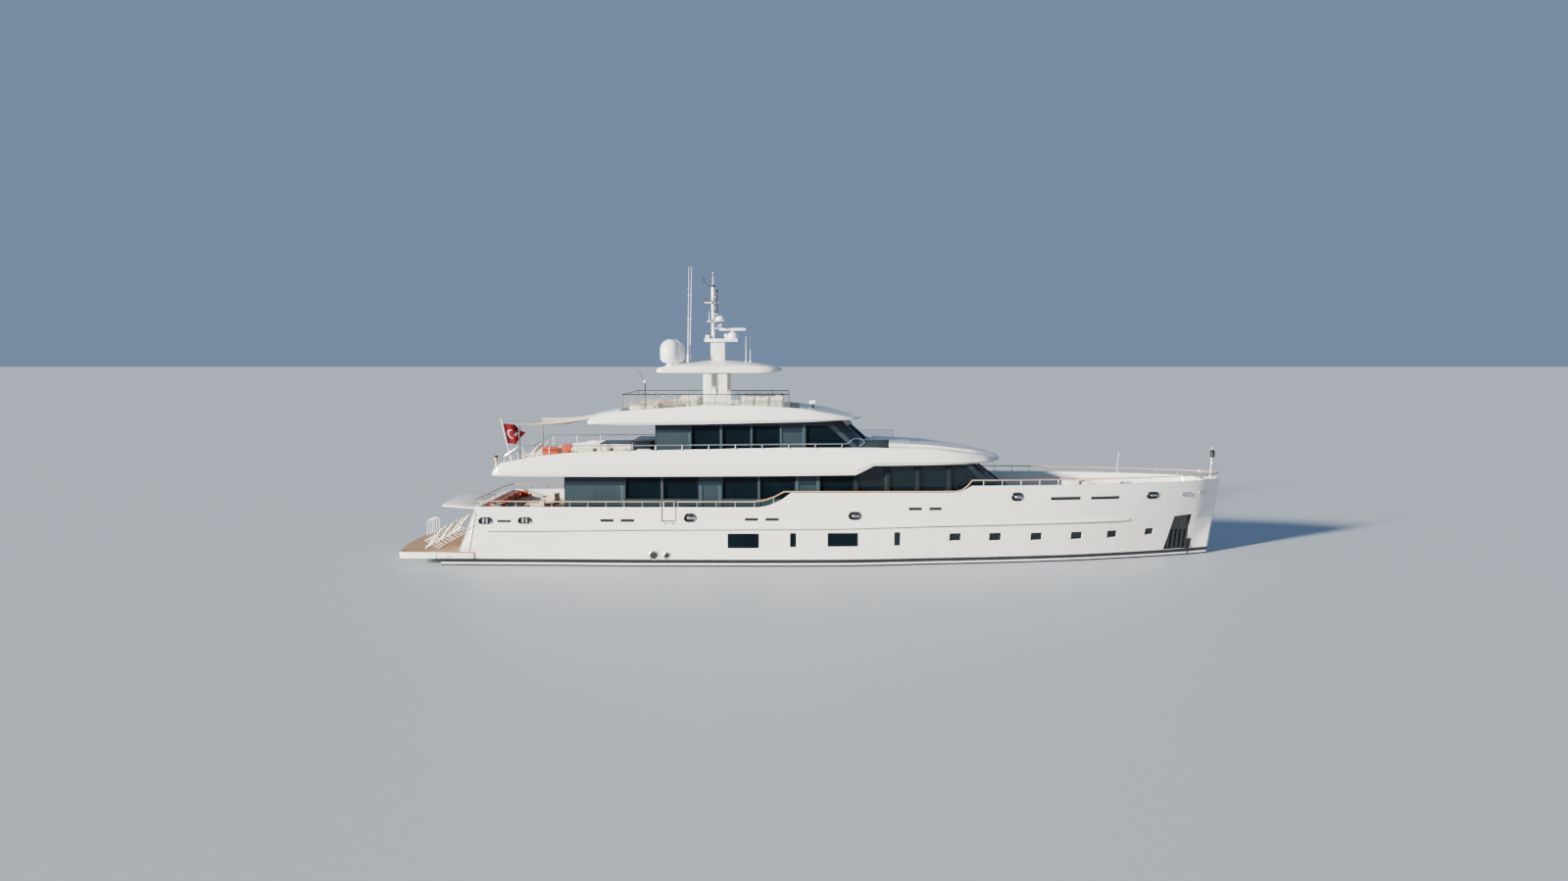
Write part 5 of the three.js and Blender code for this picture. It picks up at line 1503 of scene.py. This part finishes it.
# Boarding door, gates and sliding doors
gate = {"foot": 2.56, "cap": 0.06}
slidingDoor = {"edge": 0.07, "proud": 0.008, "pullInset": 0.12, "pullHalf": 0.035, "pullFrom": 0.88,
               "pullTo": 1.32,
               "pullRim": 0.006}


def makeDoors():
    skin = eased("transomDoorSkin", "transom_door", "hull", 0.012, 2, 60, 35, "transom_door")
    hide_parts("transom_door")
    for side in bothSides:
        makeGate(side)
        for deck in ("saloon", "upper"):
            makeSlidingDoor(deck, side)
    say("doors and gates")


def makeGate(side):
    panel = fromNodes("gatePanel" + side.title(), "gate_" + side)
    capFrom = spanOf("gate_" + side)[1][2] - gate["cap"]
    # the foot ends a little higher than in the CAD, so that it swings clear of the teak
    for vertex in panel.data.vertices:
        vertex.co.z = max(vertex.co.z, gate["foot"] * modelScale)
    roundEdges(panel, 0.012, 2, 60)
    dress(panel, "hull", body="gate_" + side, angle=35)
    addFinish(panel, "rail", lambda face: face.center.z / modelScale > capFrom)
    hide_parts("gate_" + side)


def makeSlidingDoor(deck, side):
    body = deck + "_door_" + side
    low, high = spanOf(body)
    edge = slidingDoor["edge"]
    x0, x1 = low[0] - slidingDoor["proud"], high[0] + slidingDoor["proud"]
    bars = [block("stile", (x0, y, low[2]), (x1, y + edge, high[2]), 0.006)
            for y in (low[1], high[1] - edge)]
    bars += [block("bar", (x0, low[1] + edge, z), (x1, high[1] - edge, z + edge), 0.006)
             for z in (low[2], high[2] - edge)]
    dress(merged(deck + "DoorFrame" + side.title(), bars), "mullion", body=body)
    # a flush pull, so that it slides behind the wall with the door
    y = low[1] + slidingDoor["pullInset"] if side == "port" else high[1] - slidingDoor["pullInset"]
    half = slidingDoor["pullHalf"]
    x, z0, z1 = low[0] - 0.002, low[2] + slidingDoor["pullFrom"], low[2] + slidingDoor["pullTo"]
    rim = [(x, y - half, z0), (x, y + half, z0), (x, y + half, z1), (x, y - half, z1)]
    rim = pipes(deck + "DoorGrip" + side.title(), [rim], slidingDoor["pullRim"], 8, closed=True)
    dress(rim, "steel", body=body)
    half -= 0.002
    plate = block(deck + "DoorPull" + side.title(), (x, y - half, z0 + 0.002),
                  (low[0] + 0.01, y + half, z1 - 0.002), 0)
    dress(plate, "black", body=body)


# Boarding gear on the platform
ladder = {"from": -21.42, "to": -21.0, "rows": [1.95, 2.4, 2.85], "top": 1.66, "deck": 0.75, "tube": 0.026,
          "treads": (-21.27, -21.1, -20.93)}


def makeLadder():
    hoops, feet = [], []
    x0, x1, top, deck = ladder["from"], ladder["to"], ladder["top"], ladder["deck"]
    for y in ladder["rows"]:
        hoops.append(rounded([(x0, y, deck), (x0, y, top), (x1, y, top), (x1, y, deck)], 0.16))
        feet += [upright("foot", (x, y, deck), 0.05, 0.055, 14) for x in (x0, x1)]
    dress(merged("platformHoops", [pipes("hoops", hoops, ladder["tube"], 10), *feet]), "dome")
    treads = [block("tread", (x, ladder["rows"][0] + 0.04, deck),
                    (x + 0.1, ladder["rows"][1] - 0.04, deck + 0.06), 0.008)
              for x in ladder["treads"]]
    dress(merged("ladderTreads", treads), "rail")
    say("platform ladder")


# Folding chairs with a cloth sling: on the platform and on the upper deck
deckChair = {"width": 0.62, "backTop": (0.52, 1.12), "frontFoot": (-0.36, 0.02), "seatFront": (-0.42, 0.46),
             "backFoot": (0.4, 0.02), "bar": 0.02, "sag": 0.17, "inset": 0.045}
# x, y, deck, turn
chairPlaces = [(-19.6, -2.6, 0.775, 3), (-19.63, -1.56, 0.775, -3), (-19.58, -0.52, 0.775, 2),
               (-19.62, 0.52, 0.775, -4), (-19.6, 1.56, 0.775, 3), (-19.57, 2.6, 0.775, -2),
               (-14.35, -1.7, 5.375, 5), (-14.4, -0.45, 5.375, -4), (-14.3, 0.85, 5.375, 4)]


def slingPoint(share, across):
    back, front = deckChair["backTop"], deckChair["seatFront"]
    sag = deckChair["sag"] * math.sin(math.pi * share ** 0.85) * (1 - 0.12 * across ** 2)
    return (back[0] + (front[0] - back[0]) * share + sag * 0.55, deckChair["width"] * 0.44 * across,
            back[1] + (front[1] - back[1]) * share - sag)


def makeDeckChair():
    half, narrower = deckChair["width"] / 2, deckChair["inset"]
    runs = []
    for sign in (-1, 1):
        for start, end, inset in (("backTop", "frontFoot", 0), ("seatFront", "backFoot", narrower)):
            y = sign * (half - inset)
            runs.append([(deckChair[start][0], y, deckChair[start][1]),
                         (deckChair[end][0], y, deckChair[end][1])])
    for key, inset in (("backTop", 0), ("frontFoot", 0), ("seatFront", narrower), ("backFoot", narrower)):
        x, z = deckChair[key]
        runs.append([(x, inset - half, z), (x, half - inset, z)])
    structure = pipes("chairFrame", runs, deckChair["bar"], 8)
    sling, area = clothGrid("chairSling", 24, 8, lambda u, v: slingPoint(u, 2 * v - 1), 0.012)
    return structure, sling, area


def makeDeckChairs():
    structure, sling, area = makeDeckChair()
    for i, (x, y, deck, turn) in enumerate(chairPlaces):
        frameName = "deckChairFrame%d" % (i + 1)
        dress(copied(structure, frameName, (x, y, deck), turn), "mastPaint")
        cloth = dress(copied(sling, "deckChairSling%d" % (i + 1), (x, y, deck), turn), "sling", angle=60)
    discard(structure)
    discard(sling)
    say("deck chairs")


# Stuffed cushions
stuffing = {"voxel": 0.022, "pressure": 4.0, "frames": 20, "most": 0.02, "piping": 0.011, "gap": 0.02}
# size of each shape, and the axis across its piping
padSizes = {"seatPad": ((0.9, 0.9, 0.22), 2), "longPad": ((0.9, 1.7, 0.2), 2),
            "backPad": ((0.24, 0.9, 0.5), 0),
            "sidePad": ((0.9, 0.24, 0.6), 1)}


def stuffed(name, size):
    shell = block(name, [-value / 2 for value in size], [value / 2 for value in size], min(size) * 0.24, 3)
    modify(shell, "REMESH", mode="VOXEL", voxel_size=stuffing["voxel"])
    before = [vertex.co.copy() for vertex in shell.data.vertices]
    pick(shell)
    filling = shell.modifiers.new("Filling", "CLOTH")
    filling.settings.quality = 4
    filling.settings.use_pressure = True
    filling.settings.uniform_pressure_force = stuffing["pressure"]
    filling.settings.effector_weights.gravity = 0
    for step in range(1, stuffing["frames"] + 1):
        bpy.context.scene.frame_set(step)
    bpy.ops.object.modifier_apply(modifier=filling.name)
    for vertex, start in zip(shell.data.vertices, before):
        move = vertex.co - start
        if move.length > stuffing["most"]:
            vertex.co = start + move.normalized() * stuffing["most"]
    bpy.context.scene.frame_set(1)
    modify(shell, "SUBSURF", levels=1)
    return shell


# a thin edge of cloth sewn round the middle of the pad
def piped(pad, axis):
    seam = copied(pad, "seam")
    editAll(seam)
    normal = [0, 0, 0]
    normal[axis] = 1
    bpy.ops.mesh.bisect(plane_co=(0, 0, 0), plane_no=normal, clear_inner=True, clear_outer=True)
    leaveEdit()
    bpy.ops.object.convert(target="CURVE")
    seam = bpy.context.object
    seam.data.bevel_depth = stuffing["piping"] * modelScale
    seam.data.bevel_resolution = 0
    bpy.ops.object.convert(target="MESH")
    return merged(pad.name, [pad, bpy.context.object])


padShapes = {}


def makePadShapes():
    for name, (size, axis) in padSizes.items():
        padShapes[name] = piped(stuffed(name, size), axis)
    say("cushion shapes")


def cushion(name, shape, low, high, finishName, place=(0, 0, 0), turn=0):
    points = [vertex.co for vertex in padShapes[shape].data.vertices]
    size = [max(point[i] for point in points) - min(point[i] for point in points) for i in range(3)]
    middle = [(a + b) / 2 for a, b in zip(low, high)]
    stretch = [(b - a) * modelScale / length for a, b, length in zip(low, high, size)]
    fitted = copied(padShapes[shape], name, middle, stretch=stretch)
    if turn or any(place):
        placed = copied(fitted, name, place, turn)
        discard(fitted)
        placed.name = name
        fitted = placed
    dress(fitted, finishName, angle=60)


# cushions side by side along Y, or along X where along is 0
def row(name, shape, low, high, count, finishName, along=1):
    pitch = (high[along] - low[along]) / count
    for i in range(count):
        a, b = list(low), list(high)
        a[along] = low[along] + pitch * i + stuffing["gap"] / 2
        b[along] = low[along] + pitch * (i + 1) - stuffing["gap"] / 2
        cushion("%s%d" % (name, i + 1), shape, a, b, finishName)


# Sofas and the sunpad
# base: low, high, rounding; rows: name, shape, low, high, count, finish
sofas = {
    "aftSofa": {"node": "aft_sofa", "base": ((-16.3, -2.58, 2.52), (-15.12, 2.58, 2.78), 0.03), "rows": [
        ("Seat", "longPad", (-15.92, -2.56, 2.78), (-15.1, 2.56, 2.97), 3, "taupe"),
        ("Back", "backPad", (-16.3, -2.56, 2.9), (-15.92, 2.56, 3.34), 4, "orange")]},
    "upperSofa": {"node": "upper_sofa", "base": ((-12.96, -1.58, 5.37), (-11.62, 1.58, 5.62), 0.03),
                  "rows": [
        ("Seat", "longPad", (-12.62, -1.56, 5.62), (-11.6, 1.56, 5.82), 2, "sand"),
        ("Back", "backPad", (-12.96, -1.56, 5.75), (-12.62, 1.56, 6.28), 3, "beige")]},
    "sunpad": {"node": "sunpad", "base": ((-8.56, -2.36, 8.16), (-6.94, 2.36, 8.5), 0.04), "rows": [
        ("Pad", "longPad", (-8.58, -2.38, 8.5), (-6.92, 2.38, 8.74), 4, "beige")]},
}
sunSofas = {
    "sunSofaAft": {"node": "sun_sofa_aft", "seat": (-6.12, -5.2), "back": (-5.2, -4.72), "top": 9.14},
    "sunSofaForward": {"node": "sun_sofa_forward", "seat": (-2.38, -0.6), "back": (-0.6, 0.0), "top": 9.24},
}
sunSofaShape = {"half": 2.36, "padHalf": 2.06, "side": (2.08, 2.38), "floor": 8.16, "base": 8.42,
                "seat": 8.62}
# x0, x1, z0, z1 of the ledge above the sunpad's side and of the board under it
sunpadSides = {"ledge": (-8.62, -5.58, 8.72, 8.85), "board": (-8.6, -6.9, 8.18, 8.71),
               "ledgeAt": (2.4, 2.47)}
foldedChair = {"sides": (-2.62, -2.9), "tube": 0.026, "cloth": 0.05, "clothSides": (-2.64, -2.88),
               "runs": [[(-7.5, 9.2), (-7.36, 8.6)], [(-6.66, 9.3), (-7.16, 8.74), (-7.3, 8.2)],
                        [(-7.36, 8.6), (-6.8, 8.2)]],
               "across": [(-7.5, 9.2), (-6.66, 9.3)], "clothRun": [(-7.12, 8.9), (-7.28, 8.3)]}
coverRoll = {"run": [(-8.62, -2.9, 8.3), (-8.62, -1.9, 8.3), (-8.6, -0.8, 8.31)], "radius": 0.12}


def sofaBase(name, node, low, high, rounding):
    base = block(name + "Base", low, high, rounding)
    dress(base, "gelcoat")
    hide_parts(node)


def makeSofas():
    for name, given in sofas.items():
        sofaBase(name, given["node"], *given["base"])
        for title, *rest in given["rows"]:
            row(name + title, *rest)
    for side, sign in bothSides.items():
        y0, y1 = sorted(sign * y for y in sunpadSides["ledgeAt"])
        for key, rounding, finishName in (("ledge", 0.015, "rail"), ("board", 0.01, "gelcoat")):
            x0, x1, z0, z1 = sunpadSides[key]
            dress(block("sunpad" + key.title() + side.title(), (x0, y0, z0), (x1, y1, z1), rounding),
                  finishName)
    makeSunSofas()
    makeFoldedChair()
    say("sofas")


def makeSunSofas():
    half, padHalf = sunSofaShape["half"], sunSofaShape["padHalf"]
    floor, middle, seat = sunSofaShape["floor"], sunSofaShape["base"], sunSofaShape["seat"]
    for name, given in sunSofas.items():
        (x0, x1), (backFrom, backTo), top = given["seat"], given["back"], given["top"]
        sofaBase(name, given["node"], (x0 + 0.03, -half, floor), (backTo - 0.02, half, middle), 0.03)
        row(name + "Seat", "seatPad", (x0, -padHalf, middle), (x1, padHalf, seat), 4, "sand")
        row(name + "Back", "backPad", (backFrom, -padHalf, seat - 0.02), (backTo, padHalf, top), 4, "sand")
        for side, sign in bothSides.items():
            y0, y1 = sorted(sign * y for y in sunSofaShape["side"])
            row(name + "Side" + side.title(), "sidePad", (x0, y0, middle), (backTo, y1, top), 3, "sand",
                along=0)


# a chair folded flat beside the sunpad, and a black roll aft of it
def makeFoldedChair():
    tubes = [[(x, y, z) for x, z in run] for y in foldedChair["sides"] for run in foldedChair["runs"]]
    tubes += [[(x, y, z) for y in foldedChair["sides"]] for x, z in foldedChair["across"]]
    dress(pipes("foldedChair", tubes, foldedChair["tube"], 8), "dome")
    cloths = [[(x, y, z) for x, z in foldedChair["clothRun"]] for y in foldedChair["clothSides"]]
    dress(pipes("foldedChairCloth", cloths, foldedChair["cloth"], 8), "sand")
    dress(pipes("coverRoll", [coverRoll["run"]], coverRoll["radius"], 16), "black")


# Loose seats and tables
armchairShape = {"front": -0.38, "rear": 0.42, "foot": 0.12, "floor": 0.24, "arm": 0.56, "armWidth": 0.13,
                 "backFrom": 0.3, "legs": (-0.32, 0.36), "legIn": 0.08, "leg": 0.14}


def armchair(name, x, y, deck, turn, frameFinish, padFinish, width=0.86, back=0.8):
    half = width / 2
    front, rear, foot, floor = (armchairShape[key] for key in ("front", "rear", "foot", "floor"))
    arm, inner = armchairShape["arm"], half - armchairShape["armWidth"]
    shell = [block("base", (front, -half, foot), (rear, half, floor), 0.03),
             block("armA", (front, -half, foot), (rear, -inner, arm), 0.05, 3),
             block("armB", (front, inner, foot), (rear, half, arm), 0.05, 3),
             block("back", (armchairShape["backFrom"], -half, foot), (rear, half, back), 0.05, 3)]
    legHalf = half - armchairShape["legIn"]
    legs = [upright("leg", (x0, y0, 0), armchairShape["leg"], 0.022, 10, 0.03)
            for x0 in armchairShape["legs"] for y0 in (legHalf, -legHalf)]
    place = (x, y, deck)
    for title, parts, finishName in (("Shell", shell, frameFinish), ("Legs", legs, "steel")):
        part = merged("part", parts)
        dress(copied(part, name + title, place, turn), finishName)
        discard(part)
    padHalf = half - 0.14
    cushion(name + "Seat", "seatPad", (-0.36, -padHalf, 0.24), (0.3, padHalf, 0.44), padFinish, place, turn)
    cushion(name + "Back", "backPad", (0.14, -padHalf, 0.42), (0.31, padHalf, back + 0.02), padFinish, place,
            turn)


tableShape = {"top": 0.05, "leg": 0.035, "legIn": 0.1}


def table(name, low, high, finishName="lightWood"):
    (x0, y0, z0), (x1, y1, z1) = low, high
    under, legIn = z1 - tableShape["top"], tableShape["legIn"]
    dress(block(name + "Top", (x0, y0, under), high, 0.015), finishName)
    legs = [rod("leg", (x, y, z0), (x, y, under), tableShape["leg"], 12)
            for x in (x0 + legIn, x1 - legIn) for y in (y0 + legIn, y1 - legIn)]
    dress(merged(name + "Legs", legs), "steel")


# name, x, y, deck, turn, shell finish, pad finish, then width and height where they differ
armchairs = [
    ("aftChairA", -14.0, -1.5, 2.52, 8, "beige", "sand"),
    ("aftChairB", -13.9, 1.5, 2.52, -8, "beige", "sand"),
    ("aftChairC", -15.9, -3.1, 2.52, 95, "orange", "taupe"),
    ("aftChairD", -15.9, 3.1, 2.52, -95, "orange", "taupe"),
    ("upperChairA", -12.82, -2.95, 5.37, -90, "orange", "orange", 0.92, 1.14),
    ("upperChairE", -12.1, -1.95, 5.37, -90, "orange", "orange", 0.6, 1.22),
    ("upperChairB", -11.1, -2.75, 5.37, 96, "sand", "sand", 1.4, 1.0),
    ("upperChairC", -11.1, 2.75, 5.37, -96, "sand", "sand", 1.4, 1.0),
    ("upperChairD", -7.75, -3.1, 5.37, 90, "sand", "sand", 0.8, 0.95),
]
# name, x, y, deck, radius, height, finish
poufs = [("poufA", -12.1, -2.95, 5.37, 0.24, 0.72, "beige"),
         ("poufC", -13.4, 0.2, 5.37, 0.32, 0.42, "orange")]
bar = {"low": (-8.5, -2.7, 5.37), "high": (-7.35, 1.2, 6.7), "top": 0.06}
tables = [
    ("aftTable", (-14.9, -0.7, 2.52), (-14.0, 0.7, 2.98)),
    ("upperTable", (-10.5, -1.2, 5.37), (-8.6, 1.2, 6.52), "darkMullion"),
    ("sunTable", (-4.3, -0.9, 8.16), (-3.4, 0.9, 8.7)),
]


def makeLooseSeats():
    for given in armchairs:
        armchair(*given)
    for given in tables:
        table(*given)
    for name, x, y, deck, radius, height, finishName in poufs:
        # it is narrower at the foot and at the rolled top
        profile = [(0.01, 0), (radius * 0.86, 0), (radius, height * 0.2), (radius, height * 0.72),
                   (radius * 0.9, height * 0.93),
                   (radius * 0.6, height), (0.01, height * 0.98)]
        pad = dress(spun(name, (x, y, deck), profile, 28), finishName, angle=60)
    (x0, y0, z0), (x1, y1, z1) = bar["low"], bar["high"]
    counter = [block("barBody", (x0 + 0.08, y0 + 0.06, z0), (x1 - 0.06, y1 - 0.06, z1), 0.02),
               block("barTop", (x0, y0, z1), (x1, y1, z1 + bar["top"]), 0.015)]
    dress(merged("upperBar", counter), "darkMullion")
    say("loose seats and tables")


# Awning and flag
awningCloth = {"fore": (-10.8, 8.04), "aft": (-14.68, 7.72), "foreHalf": 2.88, "aftHalf": 2.95, "sag": 0.26,
               "edgeSag": 0.3, "aftSag": 0.42, "aftDrop": 0.08, "thickness": 0.012, "edge": 0.018}


def awningShape(u, v):
    given = awningCloth
    half = given["foreHalf"] + (given["aftHalf"] - given["foreHalf"]) * u
    across = 2 * v - 1
    half -= given["edgeSag"] * math.sin(math.pi * u)
    x = given["fore"][0] + (given["aft"][0] - given["fore"][0]) * u
    x += given["aftSag"] * u * math.sin(math.pi * v)
    z = given["fore"][1] + (given["aft"][1] - given["fore"][1]) * u
    z -= given["sag"] * math.sin(math.pi * u) * (1 - 0.5 * across * across)
    z -= given["aftDrop"] * u * math.sin(math.pi * v)
    return x, half * across, z


def makeAwning():
    sheet, area = clothGrid("awningCloth", 32, 28, awningShape, awningCloth["thickness"])
    dress(sheet, "canvas", angle=60)
    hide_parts("awning")
    shares = [i / 24 for i in range(25)]
    rims = [[awningShape(u, v) for u in shares] for v in (0, 1)]
    rims += [[awningShape(u, v) for v in shares] for u in (0, 1)]
    dress(pipes("awningRope", rims, awningCloth["edge"], 6), "sand")
    say("awning")


staffGear = {"ball": (-16.35, 0, 7.83), "socket": ((-15.79, 0, 5.36), (-15.86, 0, 5.7))}
# stays of the poles, and the lines from the staff to the far pole and to the deck
awningStays = [[(-14.62, -2.9, 7.6), (-15.55, -3.5, 5.85)], [(-14.62, 2.9, 7.6), (-15.55, 3.5, 5.85)],
               [(-16.3, 0, 7.7), (-15.5, 1.45, 7.64), (-14.66, 2.9, 7.62)],
               [(-16.33, 0, 7.74), (-15.9, 0.02, 5.75)]]
sternLantern = (-15.8, -3.4, 5.42)
# piece: finish, height of its foot and profile
lanternParts = {
    "lanternBase": ("dome", 0, [(0.01, 0), (0.1, 0), (0.1, 0.04), (0.045, 0.07), (0.045, 0.3),
                                (0.01, 0.31)]),
    "lanternGlass": ("amber", 0.3, [(0.01, 0), (0.085, 0.01), (0.1, 0.1), (0.085, 0.21), (0.01, 0.22)]),
    "lanternTop": ("black", 0.51, [(0.01, 0), (0.115, 0.0), (0.09, 0.07), (0.03, 0.12), (0.02, 0.17),
                                   (0.01, 0.18)]),
}
flagSheet = {"low": 6.43, "high": 7.58, "reach": 1.12, "fold": 0.13, "tipFrom": 0.62, "tip": 0.7,
             "drop": 0.12,
             "staffFoot": (-15.78, 5.22), "staffLean": 0.55 / 2.59}
# x, y and radius on the UV map: the moon, the disc that bites into it, and the star
flagMark = {"moon": (0.36, 0.5, 0.22), "bite": (0.405, 0.5, 0.192), "star": (0.66, 0.5, 0.13),
            "starIn": 0.046,
            "starCore": 0.04, "starTurn": 1.256, "red": (0.11, 0.0, 0.004), "white": (0.5, 0.48, 0.45)}


# the fly hangs in folds, and its lower corner is lifted behind the tip
def flagShape(u, v):
    given = flagSheet
    tall = given["high"] - given["low"]
    late = max(0.0, (u - given["tipFrom"]) / (1 - given["tipFrom"]))
    narrow = 0.9 * late ** 0.8
    share = v * (1 - narrow) + narrow * given["tip"]
    z = given["low"] + tall * share - given["drop"] * u
    hoist = given["low"] + tall * v
    footX, footZ = given["staffFoot"]
    x = footX - (hoist - footZ) * given["staffLean"] + given["reach"] * u * (0.78 + 0.22 * share)
    wave = given["fold"] * u ** 0.7 * math.sin(2.6 * math.pi * u + 1.4 * v) + 0.12 * late * (1 - v)
    return x, wave, z


# red with a white crescent and star laid out on its own UV map
def flagCloth():
    made, tree, shader = material("flagCloth", flagMark["red"], 0.9)
    shader.inputs["Specular IOR Level"].default_value = 0.2
    at = splitPlace(tree, node(tree, "ShaderNodeTexCoord").outputs["UV"])

    def calc(operation, *values):
        return mathNode(tree, operation, *values)

    def farFrom(x, y):
        dx, dy = calc("SUBTRACT", at["X"], x), calc("SUBTRACT", at["Y"], y)
        return dx, dy, calc("SQRT", calc("ADD", calc("MULTIPLY", dx, dx), calc("MULTIPLY", dy, dy)))

    moon, bite = (calc("LESS_THAN", farFrom(x, y)[2], radius) for x, y,
                  radius in (flagMark["moon"], flagMark["bite"]))
    x, y, radius = flagMark["star"]
    dx, dy, far = farFrom(x, y)
    point = calc("PINGPONG", calc("ADD", calc("ARCTAN2", dy, dx), math.pi), math.pi / 5)
    edge = calc("DIVIDE", flagMark["starIn"], calc("COSINE", calc("SUBTRACT", point, flagMark["starTurn"])))
    star = calc("LESS_THAN", far, calc("MAXIMUM", edge, flagMark["starCore"]))
    star = calc("MULTIPLY", star, calc("LESS_THAN", far, radius))
    mark = calc("MAXIMUM", calc("SUBTRACT", moon, bite), star)
    tree.links.new(mixColour(tree, mark, flagMark["red"], flagMark["white"]), shader.inputs["Base Color"])
    return made


def makeFlag():
    finishes["flag"] = (flagCloth(), "flag_red")
    sheet, area = clothGrid("flagCloth", 36, 24, flagShape, 0.008)
    dress(sheet, "flag", angle=60)
    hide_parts("flag")
    gear = [ball("staffBall", staffGear["ball"], 0.06), rod("staffSocket", *staffGear["socket"], 0.06, 14)]
    dress(merged("staffGear", gear), "steel")
    dress(pipes("awningStays", awningStays, 0.008, 6), "steel")
    x, y, z = sternLantern
    for name, (finishName, rise, profile) in lanternParts.items():
        dress(spun(name, (x, y, z + rise), profile, 20), finishName)
    say("flag")


# Foredeck
bollards = {"deck": 3.5, "places": [(13.2, 2.9), (20.4, 2.1)], "plate": (0.36, 0.14, 0.05), "apart": 0.2}
foredeckHatch = [((14.3, -0.55, 3.5), (15.4, 0.55, 3.66)), ((14.34, -0.51, 3.66), (15.36, 0.51, 3.72))]
jackLantern = {
    "place": (24.86, 0.0, 5.6), "socket": 0.5,
    "profile": [(0.01, 0), (0.09, 0), (0.13, 0.06), (0.13, 0.3), (0.15, 0.32), (0.09, 0.42), (0.03, 0.46),
                (0.025, 0.56), (0.01, 0.57)],
    "socketProfile": [(0.01, 0), (0.07, 0), (0.09, 0.1), (0.07, 0.2), (0.01, 0.2)],
}
mooringPole = {"foot": (19.2, 0, 3.5), "footTop": (19.21, 0, 3.7), "low": (19.2, 0, 3.6),
               "high": (19.42, 0, 5.9)}
foredeckCrane = [((15.85, -1.75, 3.5), (16.7, -1.0, 4.42), 0.06),
                 ((15.8, -1.8, 4.42), (16.75, -0.95, 4.52), 0.03),
                 ((16.7, -1.6, 4.18), (17.5, -1.2, 4.4), 0.04)]


def makeForedeck():
    gear = eased("windlassBody", "windlass", "steel", 0.02, 2, 50)
    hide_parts("windlass")
    makeBollards()
    hatch = [block("hatch", low, high, 0.03) for low, high in foredeckHatch]
    dress(merged("foredeckHatch", hatch), "gelcoat")
    x, y, z = jackLantern["place"]
    dress(spun("jackLantern", (x, y, z), jackLantern["profile"], 20), "black")
    dress(spun("jackSocket", (x, y, z - jackLantern["socket"]), jackLantern["socketProfile"], 20), "steel")
    pole = [rod("pole", mooringPole["low"], mooringPole["high"], 0.016, 10),
            rod("mooringFoot", mooringPole["foot"], mooringPole["footTop"], 0.06, 14)]
    dress(merged("mooringPole", pole), "dome")
    crane = [block("crane", low, high, rounding) for low, high, rounding in foredeckCrane]
    dress(merged("foredeckCrane", crane), "gelcoat")
    say("foredeck gear")


def makeBollards():
    parts = []
    deck, (length, width, thick) = bollards["deck"], bollards["plate"]
    for x, y in bollards["places"]:
        parts.append(block("plate", (x - length, y - width, deck), (x + length, y + width, deck + thick),
                           0.02))
        for dx in (-bollards["apart"], bollards["apart"]):
            parts += [upright("bollard", (x + dx, y, deck + 0.03), 0.39, 0.09, 20),
                      upright("bollardCap", (x + dx, y, deck + 0.4), 0.07, 0.13, 20, 0.11)]
    dress(bothWays(parts, "bollards"), "steel")


def dressCadNodes():
    byName = {"swim_platform": "hull", "mast": "mastPaint", "radar_scanner": "dome"}
    for side in bothSides:
        # the anchor pocket's steel is made dark: painted reflection of the sea
        byName["anchor_pocket_" + side] = byName["awning_pole_" + side] = "darkSteelAndSeaReflection"
    bySlot = {"hull_white": "gelcoat", "deck_white": "gelcoat", "house_wall": "wall", "dark_glass": "glass",
              "rail_glass": "clearGlass", "teak": "rail", "stainless": "steel", "bronze": "bronze",
              "antifouling": "bottomPaint", "engine_grey": "engine", "mast_white": "mastPaint",
              "dome_white": "dome",
              "beige_canvas": "canvas", "beige_cushion": "beige", "orange_cushion": "orange",
              "flag_red": "orange"}
    for part in frame["record"]["subparts"]:
        cad = frame["nodes"][part["node"]]
        finishName = byName.get(part["node"], bySlot[part["material_slot"]])
        cad.data.materials.clear()
        cad.data.materials.append(finishes[finishName][0])


addCamera()
addFloor()
addLights()
dressCadNodes()
makeHull()
makeFairleads()
makeHullLines()
makeDecks()
makeBands()
makeCapRails()
makeHouses()
makeUpperRails()
makeSunScreen()
makeMast()
makeDomes()
makeWhips()
makeDoors()
makeLadder()
makeDeckChairs()
makePadShapes()
makeSofas()
makeLooseSeats()
for shape in padShapes.values():
    discard(shape)
makeAwning()
makeFlag()
makeForedeck()
